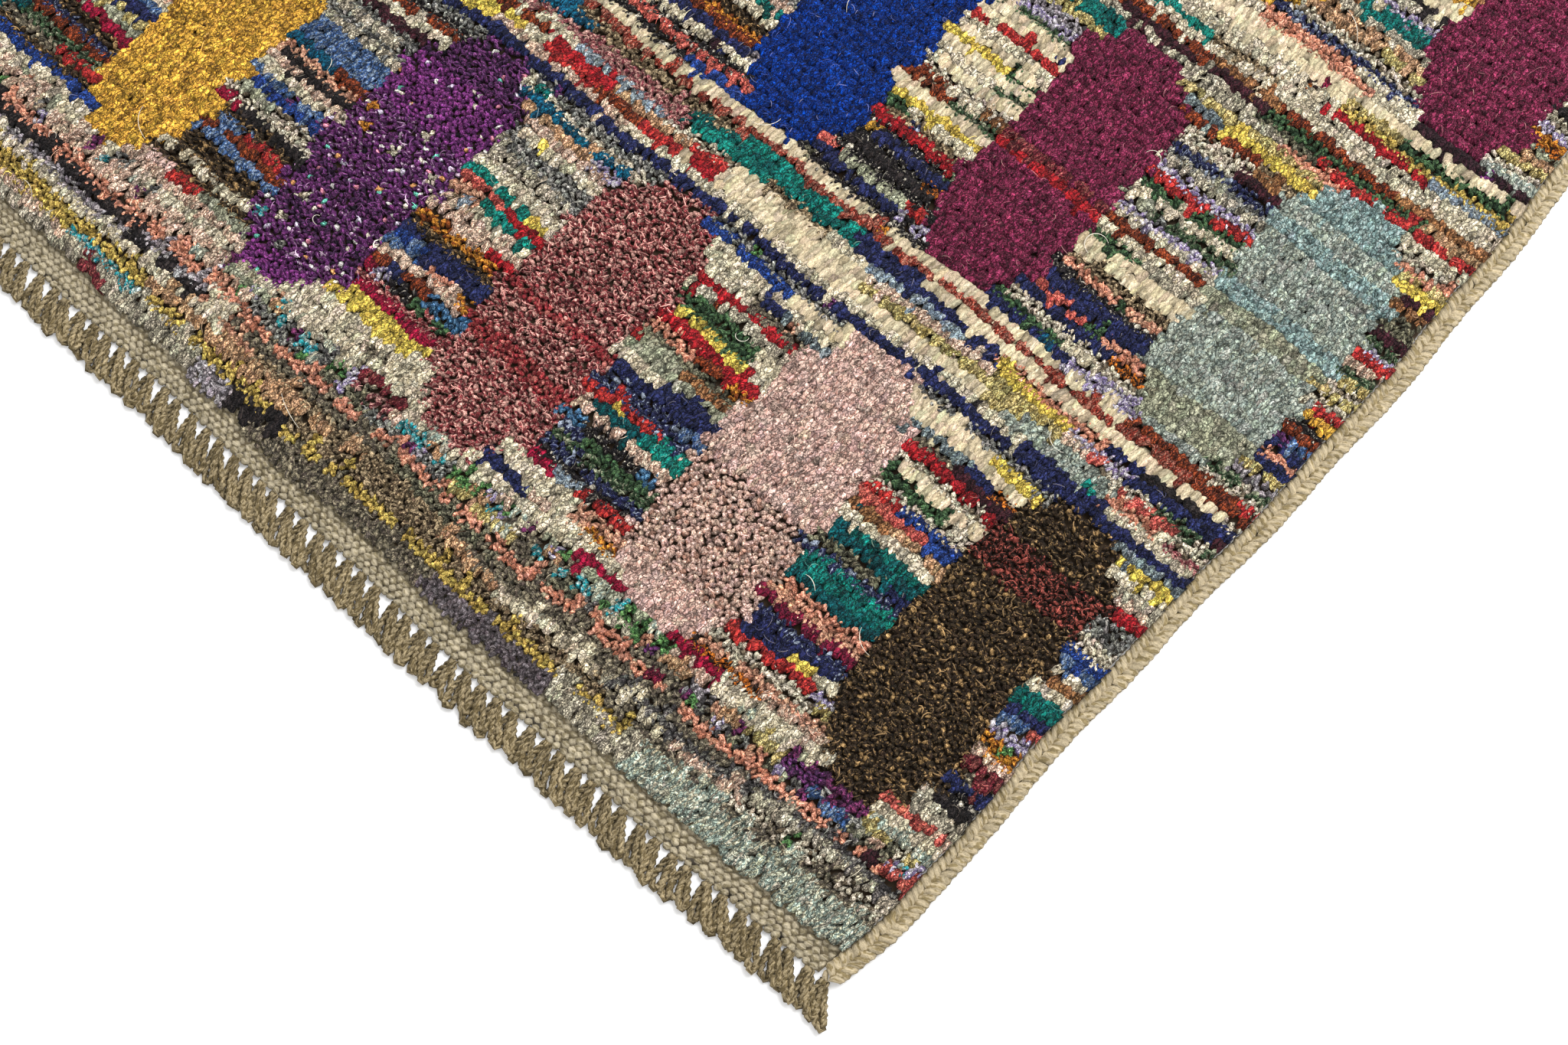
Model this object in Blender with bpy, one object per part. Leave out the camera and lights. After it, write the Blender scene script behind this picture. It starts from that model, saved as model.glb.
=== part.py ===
"""Recycled rug: a hand-knotted pile rug with flat-woven ends, wrapped side cords and looped fringe.

The rug lies flat on the floor at z = 0, with its origin at the middle of the underside. X runs
along the weft, from one side cord to the other, and Y along the warp, from fringe to fringe.
Each piece is modelled straight, and a last step moves the points of all pieces together, so
that the outline wanders as it does on a hand-made rug while the pieces keep their clearance.
"""

import math
import random

import bmesh
import bpy
from mathutils import Vector

# Overall sizes, in metres.
CLOTH_WIDTH = 0.900  # over both side cords
CLOTH_LENGTH = 1.500  # over both flat-woven ends, without the fringe
CLEARANCE = 0.0003  # between neighbouring pieces

# Pile field and flat-woven ends.
WEAVE_THICKNESS = 0.003
WEAVE_DEPTH = 0.014  # length of flat weave that shows at each end, without the backing
PILE_THICKNESS = 0.011  # foundation and cut pile together
PILE_OVERHANG = 0.003  # the outer knots lean out by this much
PILE_SIDE_DROP = 0.0015  # and stand lower at the sides
PILE_LUMPS = 0.0006  # the surface rises and falls by this much
LUMP_LENGTH = 0.15  # from one rise to the next
LUMP_DRIFT = 0.7  # the rises drift sideways along the rug, in metres a turn
PILE_ROWS = 36  # rows and columns of points that carry the lumps
PILE_COLUMNS = 22
BOUNDARY_WAVES = (  # how the last row of knots strays from straight
    {"height": 0.0018, "length": 0.41, "shift": 0.03},
    {"height": 0.0010, "length": 0.13, "shift": 0.028},
)

# Side cords: two warp cords side by side, wrapped together in a figure of eight.
CORD_WIDTH = 0.015
CORD_THICKNESS = 0.0066
CORD_FLAT = 0.0004  # the cord is pressed flat on the floor by this much
CORD_GROOVE = 0.0008  # depth of the furrow between the two
CORD_SIDES = 12
CORD_SQUARENESS = 0.7  # power of the outline: 1 is an ellipse, less is squarer

# Fringe: warp loops that twist back on themselves, on the last wefts of the cloth.
BACKING_DEPTH = 0.004
TASSEL_PITCH = 0.0124
TASSEL_ROOT_WIDTH = 0.0055
TASSEL_LENGTH = 0.0225
TASSEL_LENGTH_SPREAD = 0.0015
TASSEL_LEAN = 0.0085  # all of them lie over to the same side
TASSEL_LEAN_SPREAD = 0.0008
TASSEL_TOP_SHARE = 0.75  # a tassel's top is this much of its width on the floor
CORNER_MARGIN = 0.006  # from the cloth's corner to the first tassel
TASSEL_SECTIONS = (
    {"share_of_length": 0.16, "width": 0.0058, "height": 0.0050, "share_of_lean": 0.05},
    {"share_of_length": 0.72, "width": 0.0088, "height": 0.0060, "share_of_lean": 0.70},
    {"share_of_length": 1.00, "width": 0.0060, "height": 0.0040, "share_of_lean": 1.00},
)

# How far each edge wanders from straight: a sum of waves along the edge.
EDGE_WAVES = {
    "left": (
        {"height": 0.0038, "length": 0.71, "shift": 0.21},
        {"height": 0.0009, "length": 0.137, "shift": 0.02},
    ),
    "right": (
        {"height": 0.0045, "length": 0.62, "shift": -0.429},
        {"height": 0.0009, "length": 0.121, "shift": -0.29},
    ),
    "near": (
        {"height": 0.0050, "length": 1.05, "shift": 0.51},
        {"height": 0.0006, "length": 0.17, "shift": 0.03},
    ),
    "far": (
        {"height": 0.0036, "length": 0.93, "shift": -0.12},
        {"height": 0.0006, "length": 0.19, "shift": 0.08},
    ),
}
CORNER_EASE = 0.012  # the side cords draw in by this much at the corners
CORNER_REACH = 0.038  # over about this distance from the ends

HALF_WIDTH = CLOTH_WIDTH / 2
HALF_LENGTH = CLOTH_LENGTH / 2
BODY_HALF_WIDTH = HALF_WIDTH - CORD_WIDTH - CLEARANCE
BODY_HALF_LENGTH = HALF_LENGTH - BACKING_DEPTH - CLEARANCE

FLOOR = 0.0
SHARP_ANGLE = math.radians(40)
MERGE_DISTANCE = 0.00001
COLLECTION_NAME = "recycled_rug"


def clear_scene():
    for obj in list(bpy.data.objects):
        bpy.data.objects.remove(obj, do_unlink=True)


def rug_collection():
    collection = bpy.data.collections.new(COLLECTION_NAME)
    bpy.context.scene.collection.children.link(collection)
    return collection


def yarn_material(name, colour, roughness):
    material = bpy.data.materials.new(name)
    material.use_nodes = True
    shader = material.node_tree.nodes["Principled BSDF"]
    shader.inputs["Base Color"].default_value = (*colour, 1.0)
    shader.inputs["Roughness"].default_value = roughness
    shader.inputs["Metallic"].default_value = 0.0
    return material


def wave_sum(waves, distance):
    """The offset of an edge at this distance along it."""
    return sum(
        wave["height"] * math.sin(2 * math.pi * (distance - wave["shift"]) / wave["length"])
        for wave in waves
    )


def blend(low, high, share):
    share = min(max(share, 0.0), 1.0)
    return low + (high - low) * share


def side_offset(x, y):
    """How far a point moves in X: each side follows its own wave and draws in at the corners."""
    left = wave_sum(EDGE_WAVES["left"], y)
    right = wave_sum(EDGE_WAVES["right"], y)
    from_end = max(HALF_LENGTH - abs(y), 0.0)
    ease = CORNER_EASE * math.exp(-((from_end / CORNER_REACH) ** 2))
    return blend(left + ease, right - ease, x / CLOTH_WIDTH + 0.5)


def end_offset(x, y):
    """How far a point moves in Y: each end follows its own wave."""
    near = wave_sum(EDGE_WAVES["near"], x)
    far = wave_sum(EDGE_WAVES["far"], x)
    return blend(near, far, y / CLOTH_LENGTH + 0.5)


def let_wander(bm):
    """Moves every point with the cloth around it, from the straight rug to the uneven one."""
    for vertex in bm.verts:
        x, y = vertex.co.x, vertex.co.y
        vertex.co.x = x + side_offset(x, y)
        vertex.co.y = y + end_offset(x, y)


def finish_object(bm, name, material, collection):
    """Closes the modelling of one piece and links it as an object."""
    let_wander(bm)
    bmesh.ops.recalc_face_normals(bm, faces=bm.faces[:])
    mesh = bpy.data.meshes.new(name)
    bm.to_mesh(mesh)
    bm.free()
    mesh.materials.append(material)
    mesh.shade_smooth()
    mesh.set_sharp_from_angle(angle=SHARP_ANGLE)
    obj = bpy.data.objects.new(name, mesh)
    collection.objects.link(obj)
    return obj


def evenly_spaced(reach, steps):
    """Positions from -reach to reach in equal steps."""
    return [-reach + 2 * reach * step / steps for step in range(steps + 1)]


def row_positions(x):
    """Y of every row of points at this X: flat weave, foot and shoulder of the pile, then pile."""
    foot = BODY_HALF_LENGTH - WEAVE_DEPTH - wave_sum(BOUNDARY_WAVES, x)
    shoulder = foot - PILE_OVERHANG
    pile = evenly_spaced(shoulder, PILE_ROWS)
    return [-BODY_HALF_LENGTH, -foot, *pile, foot, BODY_HALF_LENGTH]


def column_positions():
    """X of every column of points, with one close to each side for the rounded edge."""
    pile = evenly_spaced(BODY_HALF_WIDTH - PILE_OVERHANG, PILE_COLUMNS)
    return [-BODY_HALF_WIDTH, *pile, BODY_HALF_WIDTH]


def pile_surface(x, y):
    """Height of the pile, which is a little lumpy and drops at the sides."""
    drift = math.sin(2 * math.pi * y / LUMP_DRIFT)
    across = math.sin(2 * math.pi * x / LUMP_LENGTH + 2 * drift)
    along = math.sin(2 * math.pi * y / LUMP_LENGTH)
    height = PILE_THICKNESS + PILE_LUMPS * across * along
    return height - PILE_SIDE_DROP if abs(x) == BODY_HALF_WIDTH else height


def top_height(row, last_row, x, y):
    """Flat weave on the two outer rows of points at each end, pile between them."""
    on_weave = row < 2 or row > last_row - 2
    return WEAVE_THICKNESS if on_weave else pile_surface(x, y)


def solid_from_grid(columns, rows, thickness):
    """A flat block of columns x rows cells. Returns it with its lower and upper points."""
    bm = bmesh.new()
    bmesh.ops.create_grid(bm, x_segments=columns, y_segments=rows, size=0.5)
    lower = list(bm.verts)
    grown = bmesh.ops.extrude_face_region(bm, geom=bm.faces[:])
    upper = [item for item in grown["geom"] if isinstance(item, bmesh.types.BMVert)]
    bmesh.ops.translate(bm, verts=upper, vec=Vector((0, 0, thickness)))
    return bm, lower, upper


def grid_index(vertex, columns, rows):
    """Column and row of a point of the unit grid."""
    column = round((vertex.co.x + 0.5) * columns)
    row = round((vertex.co.y + 0.5) * rows)
    return column, row


def make_body(collection):
    """The cloth: pile field with a flat-woven band at each end, on one flat underside."""
    xs = column_positions()
    columns = len(xs) - 1
    rows = len(row_positions(0.0)) - 1
    bm, lower, upper = solid_from_grid(columns, rows, WEAVE_THICKNESS)
    for points, on_top in ((lower, False), (upper, True)):
        for vertex in points:
            column, row = grid_index(vertex, columns, rows)
            x = xs[column]
            y = row_positions(x)[row]
            z = top_height(row, rows, x, y) if on_top else FLOOR
            vertex.co = Vector((x, y, z))
    underside = [
        face for face in bm.faces if all(vertex.co.z == FLOOR for vertex in face.verts)
    ]
    bmesh.ops.dissolve_faces(bm, faces=underside, use_verts=False)
    material = yarn_material("recycled_yarn_pile", (0.32, 0.15, 0.13), 0.95)
    return finish_object(bm, "pile_and_weave", material, collection)


def cord_section():
    """Outline of a side cord in X and Z: flat below, rounded at the sides, two humps on top."""
    outline = []
    for corner in range(CORD_SIDES):
        angle = 2 * math.pi * corner / CORD_SIDES
        across = squared_off(math.cos(angle))
        up = squared_off(math.sin(angle))
        groove = CORD_GROOVE if corner == CORD_SIDES // 4 else 0
        height = CORD_THICKNESS * (up + 1) / 2 - CORD_FLAT - groove
        outline.append((CORD_WIDTH / 2 * across, max(height, FLOOR)))
    return outline


def squared_off(share):
    """Pushes a value between -1 and 1 outwards, which makes a round outline squarer."""
    return math.copysign(abs(share) ** CORD_SQUARENESS, share)


def extrude_cap(bm, cap, move):
    """Pulls one face out by this move and returns the new end face."""
    grown = bmesh.ops.extrude_discrete_faces(bm, faces=[cap])
    end = grown["faces"][0]
    bmesh.ops.translate(bm, verts=end.verts[:], vec=Vector(move))
    return end


def make_side_cord(side, name, material, collection):
    """One wrapped side cord, from the backing of one fringe to that of the other."""
    centre = side * (HALF_WIDTH - CORD_WIDTH / 2)
    stations = row_positions(side * BODY_HALF_WIDTH)
    bm = bmesh.new()
    bmesh.ops.create_circle(bm, cap_ends=True, segments=CORD_SIDES, radius=CORD_WIDTH / 2)
    for vertex, (x, z) in zip(bm.verts, cord_section(), strict=True):
        vertex.co = Vector((centre + x, stations[0], z))
    end = next(iter(bm.faces))
    bmesh.ops.duplicate(bm, geom=[end])
    for before, after in zip(stations, stations[1:], strict=False):
        end = extrude_cap(bm, end, (0, after - before, 0))
    bmesh.ops.remove_doubles(bm, verts=bm.verts[:], dist=MERGE_DISTANCE)
    return finish_object(bm, name, material, collection)


def tassel_edges(count, pitch):
    """X of both edges of every tassel root, from left to right."""
    first = -pitch * (count - 1) / 2
    edges = []
    for tassel in range(count):
        centre = first + pitch * tassel
        edges += [centre - TASSEL_ROOT_WIDTH / 2, centre + TASSEL_ROOT_WIDTH / 2]
    return edges


def shape_section(face, centre, y, section):
    """Sets the four corners of a tassel's end face: flat on the floor, narrower on top."""
    middle = face.calc_center_median()
    for vertex in face.verts:
        on_top = vertex.co.z > middle.z
        side = math.copysign(1, vertex.co.x - middle.x)
        half_width = section["width"] / 2 * (TASSEL_TOP_SHARE if on_top else 1)
        vertex.co = Vector((centre + side * half_width, y, section["height"] * on_top))


def grow_tassel(bm, face, outward, rng):
    """Pulls a tassel out of its root face, section by section. It leans away from the weft's start."""
    root = face.calc_center_median()
    length = TASSEL_LENGTH + TASSEL_LENGTH_SPREAD * rng.uniform(-1, 1)
    lean = TASSEL_LEAN + TASSEL_LEAN_SPREAD * rng.uniform(-1, 1)
    for section in TASSEL_SECTIONS:
        face = extrude_cap(bm, face, (0, 0, 0))
        centre = root.x + lean * section["share_of_lean"]
        y = root.y + outward * length * section["share_of_length"]
        shape_section(face, centre, y, section)


def make_fringe(outward, name, material, collection, seed):
    """A narrow strip of the last wefts with a row of looped warp tassels growing out of it."""
    usable = CLOTH_WIDTH - 2 * CORNER_MARGIN - TASSEL_ROOT_WIDTH
    count = int(usable / TASSEL_PITCH) + 1
    pitch = usable / (count - 1)
    xs = tassel_edges(count, pitch)
    columns = len(xs) - 1
    bm, lower, upper = solid_from_grid(columns, 1, WEAVE_THICKNESS)
    ys = sorted(outward * distance for distance in (HALF_LENGTH, HALF_LENGTH - BACKING_DEPTH))
    for points, z in ((lower, FLOOR), (upper, WEAVE_THICKNESS)):
        for vertex in points:
            column, row = grid_index(vertex, columns, 1)
            vertex.co = Vector((xs[column], ys[row], z))
    outer = max(vertex.co.y * outward for vertex in bm.verts) * outward
    outer_faces = [
        face for face in bm.faces if all(vertex.co.y == outer for vertex in face.verts)
    ]
    outer_faces.sort(key=lambda face: face.calc_center_median().x)
    rng = random.Random(seed)
    for root in outer_faces[::2]:
        grow_tassel(bm, root, outward, rng)
    return finish_object(bm, name, material, collection)


def centre_on_origin(objects):
    """Moves the points of all pieces so that the rug's outline is centred on the origin."""
    points = [obj.matrix_world @ Vector(corner) for obj in objects for corner in obj.bound_box]
    middle_x = (min(p.x for p in points) + max(p.x for p in points)) / 2
    middle_y = (min(p.y for p in points) + max(p.y for p in points)) / 2
    for obj in objects:
        for vertex in obj.data.vertices:
            vertex.co.x -= middle_x
            vertex.co.y -= middle_y


def main():
    clear_scene()
    collection = rug_collection()
    make_body(collection)
    cord_wool = yarn_material("overcast_wool", (0.40, 0.33, 0.23), 0.95)
    make_side_cord(-1, "side_cord_left", cord_wool, collection)
    make_side_cord(1, "side_cord_right", cord_wool, collection)
    warp_wool = yarn_material("looped_warp_wool", (0.35, 0.28, 0.19), 0.95)
    make_fringe(-1, "fringe_near", warp_wool, collection, seed=11)
    make_fringe(1, "fringe_far", warp_wool, collection, seed=12)
    centre_on_origin(collection.objects)


main()
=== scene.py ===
# %% [markdown]
# # A rug knotted from recycled yarn
# The rug is a hand-knotted one: short ends of many leftover yarns stand up from a wool
# ground, and they lie over towards one fringe. This lesson dresses the plain solids of
# the rug with real tufts, wraps and loops. They are all meshes built from arrays of
# numbers, because a hundred thousand small things can't be placed by hand.

import bpy
import numpy as np
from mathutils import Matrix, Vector


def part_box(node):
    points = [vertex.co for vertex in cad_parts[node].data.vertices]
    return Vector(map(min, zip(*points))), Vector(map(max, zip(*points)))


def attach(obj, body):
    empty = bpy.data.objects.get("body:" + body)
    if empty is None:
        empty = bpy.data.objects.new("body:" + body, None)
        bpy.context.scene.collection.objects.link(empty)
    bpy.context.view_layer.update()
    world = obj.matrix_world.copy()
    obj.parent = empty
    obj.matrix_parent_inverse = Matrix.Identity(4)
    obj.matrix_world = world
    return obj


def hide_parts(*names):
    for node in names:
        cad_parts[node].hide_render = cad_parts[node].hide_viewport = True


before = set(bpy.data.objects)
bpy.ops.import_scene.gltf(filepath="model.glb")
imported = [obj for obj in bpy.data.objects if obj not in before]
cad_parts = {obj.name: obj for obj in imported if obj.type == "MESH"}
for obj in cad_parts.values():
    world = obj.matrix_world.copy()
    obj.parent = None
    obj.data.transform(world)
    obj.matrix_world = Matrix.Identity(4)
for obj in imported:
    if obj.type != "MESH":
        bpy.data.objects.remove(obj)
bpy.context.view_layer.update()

MM = 0.001
random_numbers = np.random.default_rng(71)
noise = random_numbers.normal
print("solids:", sorted(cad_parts))

# %% [markdown]
# ## How the cloth wanders
# A hand-made rug is never a true rectangle. Everything here is first laid out on a
# straight plan, u across and v along, and one function then moves it to where the cloth
# really lies. The waves are the same ones that shape the solids, so the pieces meet.

# %% The straight plan
CLOTH_WIDTH = 0.900
CLOTH_LENGTH = 1.500
CORD_WIDTH = 0.015
BACKING_DEPTH = 0.004
CLEARANCE = 0.0003
WEAVE_DEPTH = 0.014
BODY_HALF_WIDTH = CLOTH_WIDTH / 2 - CORD_WIDTH - CLEARANCE
BODY_HALF_LENGTH = CLOTH_LENGTH / 2 - BACKING_DEPTH - CLEARANCE
PILE_HALF_LENGTH = BODY_HALF_LENGTH - WEAVE_DEPTH
print(f"pile field {2000 * BODY_HALF_WIDTH:.0f} x {2000 * PILE_HALF_LENGTH:.0f} mm")

# %% The waves of the edges: height, length and shift of each, in metres
LEFT_WAVES = ((0.0038, 0.71, 0.21), (0.0009, 0.137, 0.02))
RIGHT_WAVES = ((0.0045, 0.62, -0.429), (0.0009, 0.121, -0.29))
NEAR_WAVES = ((0.0050, 1.05, 0.51), (0.0006, 0.17, 0.03))
FAR_WAVES = ((0.0036, 0.93, -0.12), (0.0006, 0.19, 0.08))
BOUNDARY_WAVES = ((0.0018, 0.41, 0.03), (0.0010, 0.13, 0.028))
CORNER_EASE = 0.012
CORNER_REACH = 0.038


def wave_sum(waves, distance):
    """The height of these waves, added up, at a distance along the edge."""
    total = 0.0
    for height, length, shift in waves:
        total = total + height * np.sin(2 * np.pi * (distance - shift) / length)
    return total


def side_offset(u, v):
    """How far a point moves sideways, between what the left and the right side do."""
    from_end = np.maximum(CLOTH_LENGTH / 2 - np.abs(v), 0.0)
    ease = CORNER_EASE * np.exp(-((from_end / CORNER_REACH) ** 2))
    share = np.clip(u / CLOTH_WIDTH + 0.5, 0.0, 1.0)
    left = wave_sum(LEFT_WAVES, v) + ease
    right = wave_sum(RIGHT_WAVES, v) - ease
    return left + (right - left) * share


def end_offset(u, v):
    """How far a point moves along the rug, between what the near and the far end do."""
    share = np.clip(v / CLOTH_LENGTH + 0.5, 0.0, 1.0)
    near = wave_sum(NEAR_WAVES, u)
    far = wave_sum(FAR_WAVES, u)
    return near + (far - near) * share


# %% Where the middle of the wandering cloth ends up
EDGE_SAMPLES = 4001
ground_low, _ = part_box("pile_and_weave")
along_side = np.linspace(-BODY_HALF_LENGTH, BODY_HALF_LENGTH, EDGE_SAMPLES)
along_end = np.linspace(-BODY_HALF_WIDTH, BODY_HALF_WIDTH, EDGE_SAMPLES)
left_side = -BODY_HALF_WIDTH + side_offset(-BODY_HALF_WIDTH, along_side)
near_end = -BODY_HALF_LENGTH + end_offset(along_end, -BODY_HALF_LENGTH)
SHIFT_X = ground_low.x - left_side.min()
SHIFT_Y = ground_low.y - near_end.min()
print(f"shift of the plan: {1000 * SHIFT_X:.2f}, {1000 * SHIFT_Y:.2f} mm")


def lay_out(u, v, z):
    """Points of the straight plan, moved to where the cloth lies."""
    u, v, z = np.broadcast_arrays(u, v, z)
    x = u + side_offset(u, v) + SHIFT_X
    y = v + end_offset(u, v) + SHIFT_Y
    return np.stack((x, y, z), axis=-1)


# %% [markdown]
# ## Camera, floor and light
# The camera looks down steeply at one corner, so that side and end both run out of
# view. A large soft lamp above the far side gives every tuft a lit back and a dark
# tip, which is what makes a pile look deep. A white floor that glows a little keeps the
# ground round the rug as bright as a studio's paper.

# %% The camera: place in metres, angles in degrees, lens in millimetres
CAMERA_PLACE = Vector((0.604, -0.977, 1.450))
CAMERA_TILT = np.radians(69.1)
CAMERA_TURN = np.radians(41.7)
FOCAL_LENGTH = 61.52
SENSOR_WIDTH = 36.0
NEAREST_SEEN = 0.01
look = Vector((
    -np.sin(CAMERA_TURN) * np.cos(CAMERA_TILT),
    np.cos(CAMERA_TURN) * np.cos(CAMERA_TILT),
    -np.sin(CAMERA_TILT),
))
camera_data = bpy.data.cameras.new("camera")
camera_data.lens = FOCAL_LENGTH
camera_data.sensor_width = SENSOR_WIDTH
camera_data.clip_start = NEAREST_SEEN
camera = bpy.data.objects.new("camera", camera_data)
camera.location = CAMERA_PLACE
camera.rotation_euler = look.to_track_quat("-Z", "Y").to_euler()
bpy.context.scene.collection.objects.link(camera)
bpy.context.scene.camera = camera
print("camera looks along", [round(part, 3) for part in look])

# %% One function for colours, one for nodes


def linear(hex_colour):
    """An sRGB hex colour as linear red, green and blue."""
    parts = [int(hex_colour[place:place + 2], 16) / 255 for place in (0, 2, 4)]
    return [part / 12.92 if part <= 0.04045 else ((part + 0.055) / 1.055) ** 2.4 for part in parts]


def add_node(tree, kind, inputs=(), **settings):
    """A node with its settings; inputs are (a socket to link from or a value, own input)."""
    node = tree.nodes.new(kind)
    for name, value in settings.items():
        if hasattr(node, name):
            setattr(node, name, value)
        else:
            node.inputs[name.replace("_", " ")].default_value = value
    for source, target in inputs:
        if isinstance(source, bpy.types.NodeSocket):
            tree.links.new(source, node.inputs[target])
        else:
            node.inputs[target].default_value = source
    return node


# %% Light
LAMP_POWER = 112.0
LAMP_SIZE = 2.6
LAMP_PLACE = Vector((0.55, 1.55, 2.3))
LAMP_TARGET = Vector((0.1, -0.1, 0.0))
SKY_STRENGTH = 0.74
bpy.context.scene.view_settings.view_transform = "Standard"
lamp_data = bpy.data.lights.new("soft_lamp", "AREA")
lamp_data.shape = "SQUARE"
lamp_data.size = LAMP_SIZE
lamp_data.energy = LAMP_POWER
lamp = bpy.data.objects.new("soft_lamp", lamp_data)
lamp.location = LAMP_PLACE
lamp.rotation_euler = (LAMP_TARGET - LAMP_PLACE).to_track_quat("-Z", "Y").to_euler()
bpy.context.scene.collection.objects.link(lamp)
world = bpy.data.worlds.new("studio")
world.use_nodes = True
sky = world.node_tree.nodes["Background"]
sky.inputs["Color"].default_value = (1.0, 1.0, 1.0, 1.0)
sky.inputs["Strength"].default_value = SKY_STRENGTH
bpy.context.scene.world = world

# %% Floor
FLOOR_HALF = 4.0
FLOOR_GAP = 0.2 * MM
FLOOR_GLOW = 0.2
FLOOR_WHITE = (0.95, 0.95, 0.95, 1.0)
floor_mesh = bpy.data.meshes.new("studio_floor")
floor_mesh.from_pydata(
    [(-FLOOR_HALF, -FLOOR_HALF, 0), (FLOOR_HALF, -FLOOR_HALF, 0),
     (FLOOR_HALF, FLOOR_HALF, 0), (-FLOOR_HALF, FLOOR_HALF, 0)],
    [], [(0, 1, 2, 3)])
floor = bpy.data.objects.new("studio_floor", floor_mesh)
floor.location.z = -FLOOR_GAP
bpy.context.scene.collection.objects.link(floor)
floor_paint = bpy.data.materials.new("matt white floor")
floor_paint.use_nodes = True
floor_shader = floor_paint.node_tree.nodes["Principled BSDF"]
floor_shader.inputs["Base Color"].default_value = FLOOR_WHITE
floor_shader.inputs["Roughness"].default_value = 0.9
floor_shader.inputs["Specular IOR Level"].default_value = 0.1
floor_shader.inputs["Emission Color"].default_value = (1.0, 1.0, 1.0, 1.0)
floor_shader.inputs["Emission Strength"].default_value = FLOOR_GLOW
floor_mesh.materials.append(floor_paint)
print("floor, lamp and camera are in place")

# %% [markdown]
# ## One builder for small things
# A tuft, a wrap of yarn and a twisted strand are all the same kind of mesh: a little
# grid of points, open like a roof tile or closed like a tube. One function takes the
# points of thousands of such grids at once. It keeps a colour and a place in the yarn
# with each point, for the materials, and gives each grid a small square of its own in
# a UV map, so that its colours can be baked. A face may look
# inwards where a thing was mirrored, and one more helper turns such things over.

# %% Templates: which points of a small thing are joined into faces


def grid_template(rows, columns, closed=False):
    """Faces of a grid of points, and where each corner goes in its square of the UV map."""
    corners = np.arange(rows * columns).reshape(rows, columns)
    left = corners if closed else corners[:, :-1]
    right = np.roll(corners, -1, axis=1) if closed else corners[:, 1:]
    faces = np.stack((left[:-1], right[:-1], right[1:], left[1:]), axis=-1).reshape(-1, 4)
    cells = left.shape[1]
    place = np.arange(cells)
    across = np.stack((place, place + 1, place + 1, place), axis=-1) / cells
    along = (np.arange(rows - 1)[:, None] + np.array([0, 0, 1, 1])) / (rows - 1)
    across = np.broadcast_to(across[None], (rows - 1, cells, 4)).reshape(-1)
    along = np.broadcast_to(along[:, None], (rows - 1, cells, 4)).reshape(-1)
    return faces, np.stack((across, along), axis=-1)


def fan_template(sides):
    """Faces from a ring of points up to one more point, the top."""
    ring = np.arange(sides)
    faces = np.stack((ring, np.roll(ring, -1), np.full(sides, sides)), axis=-1)
    turn = 2 * np.pi * ring / sides
    flat_ring = np.stack((0.5 + 0.5 * np.cos(turn), 0.5 + 0.5 * np.sin(turn)), axis=-1)
    flat = np.stack((flat_ring, np.roll(flat_ring, -1, axis=0), np.full((sides, 2), 0.5)), axis=1)
    return faces, flat.reshape(-1, 2)


# %% From arrays to a mesh
UV_MARGIN = 0.12


def mesh_of_copies(name, points, template, colours=None, flecks=None, lie=None):
    """One mesh of many small things with the same faces: points[thing, ..., xyz]."""
    count = len(points)
    points = points.reshape(count, -1, 3)
    faces, flat = template
    loops = (faces[None] + np.arange(count)[:, None, None] * points.shape[1]).reshape(-1)
    mesh = bpy.data.meshes.new(name)
    mesh.vertices.add(count * points.shape[1])
    mesh.vertices.foreach_set("co", points.astype(np.float32).reshape(-1))
    mesh.loops.add(len(loops))
    mesh.loops.foreach_set("vertex_index", loops.astype(np.int32))
    mesh.polygons.add(count * len(faces))
    starts = np.arange(count * len(faces), dtype=np.int32) * faces.shape[1]
    mesh.polygons.foreach_set("loop_start", starts)
    side = int(np.ceil(np.sqrt(count)))
    thing = np.arange(count)
    corner = np.stack((thing % side, thing // side), axis=-1)[:, None]
    uv = (corner + UV_MARGIN + (1 - 2 * UV_MARGIN) * flat[None]) / side
    mesh.uv_layers.new(name="OFBake").data.foreach_set("uv", uv.astype(np.float32).reshape(-1))
    for layer, values in (("yarn", colours), ("fleck", flecks)):
        if values is not None:
            attribute = mesh.attributes.new(layer, "FLOAT_COLOR", "POINT")
            attribute.data.foreach_set("color", values.astype(np.float32).reshape(-1))
    if lie is not None:
        attribute = mesh.attributes.new("lie", "FLOAT_VECTOR", "POINT")
        attribute.data.foreach_set("vector", lie.astype(np.float32).reshape(-1))
    mesh.update(calc_edges=True)
    mesh.shade_smooth()
    return mesh


def every(*ranges):
    """All combinations of these values, each as one flat array."""
    return [grid.ravel() for grid in np.meshgrid(*ranges, indexing="ij")]


def turned_over(points, mirrored, axis):
    """The same things, with the faces of the mirrored ones looking outwards again."""
    points[mirrored] = np.flip(points[mirrored], axis=axis)
    return points


# %% From a mesh to a piece of the rug
TRIANGLES = {}


def add_piece(name, mesh, material, replaces=()):
    """Links a piece, lets it ride on the rug, hides the solids it replaces and counts its triangles."""
    piece = bpy.data.objects.new(name, mesh)
    bpy.context.scene.collection.objects.link(piece)
    mesh.materials.clear()
    mesh.materials.append(material)
    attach(piece, "root")
    if replaces:
        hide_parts(*replaces)
    TRIANGLES[name] = sum(len(face.vertices) - 2 for face in mesh.polygons)
    print(f"{name}: {TRIANGLES[name]} triangles")
    return piece


# %% [markdown]
# ## The yarn basket
# The weaver used what was left over: every yarn has a name, a colour, the colour of its
# second ply, how much of that ply shows, and how curly its cut ends are. A smooth yarn
# lies in combed tongues; a curly one stands in separate little worms with dark gaps. The
# ends of some yarns are tied gappily or were brushed flat later: they have names of
# their own, because they take the light in another way.

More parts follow.
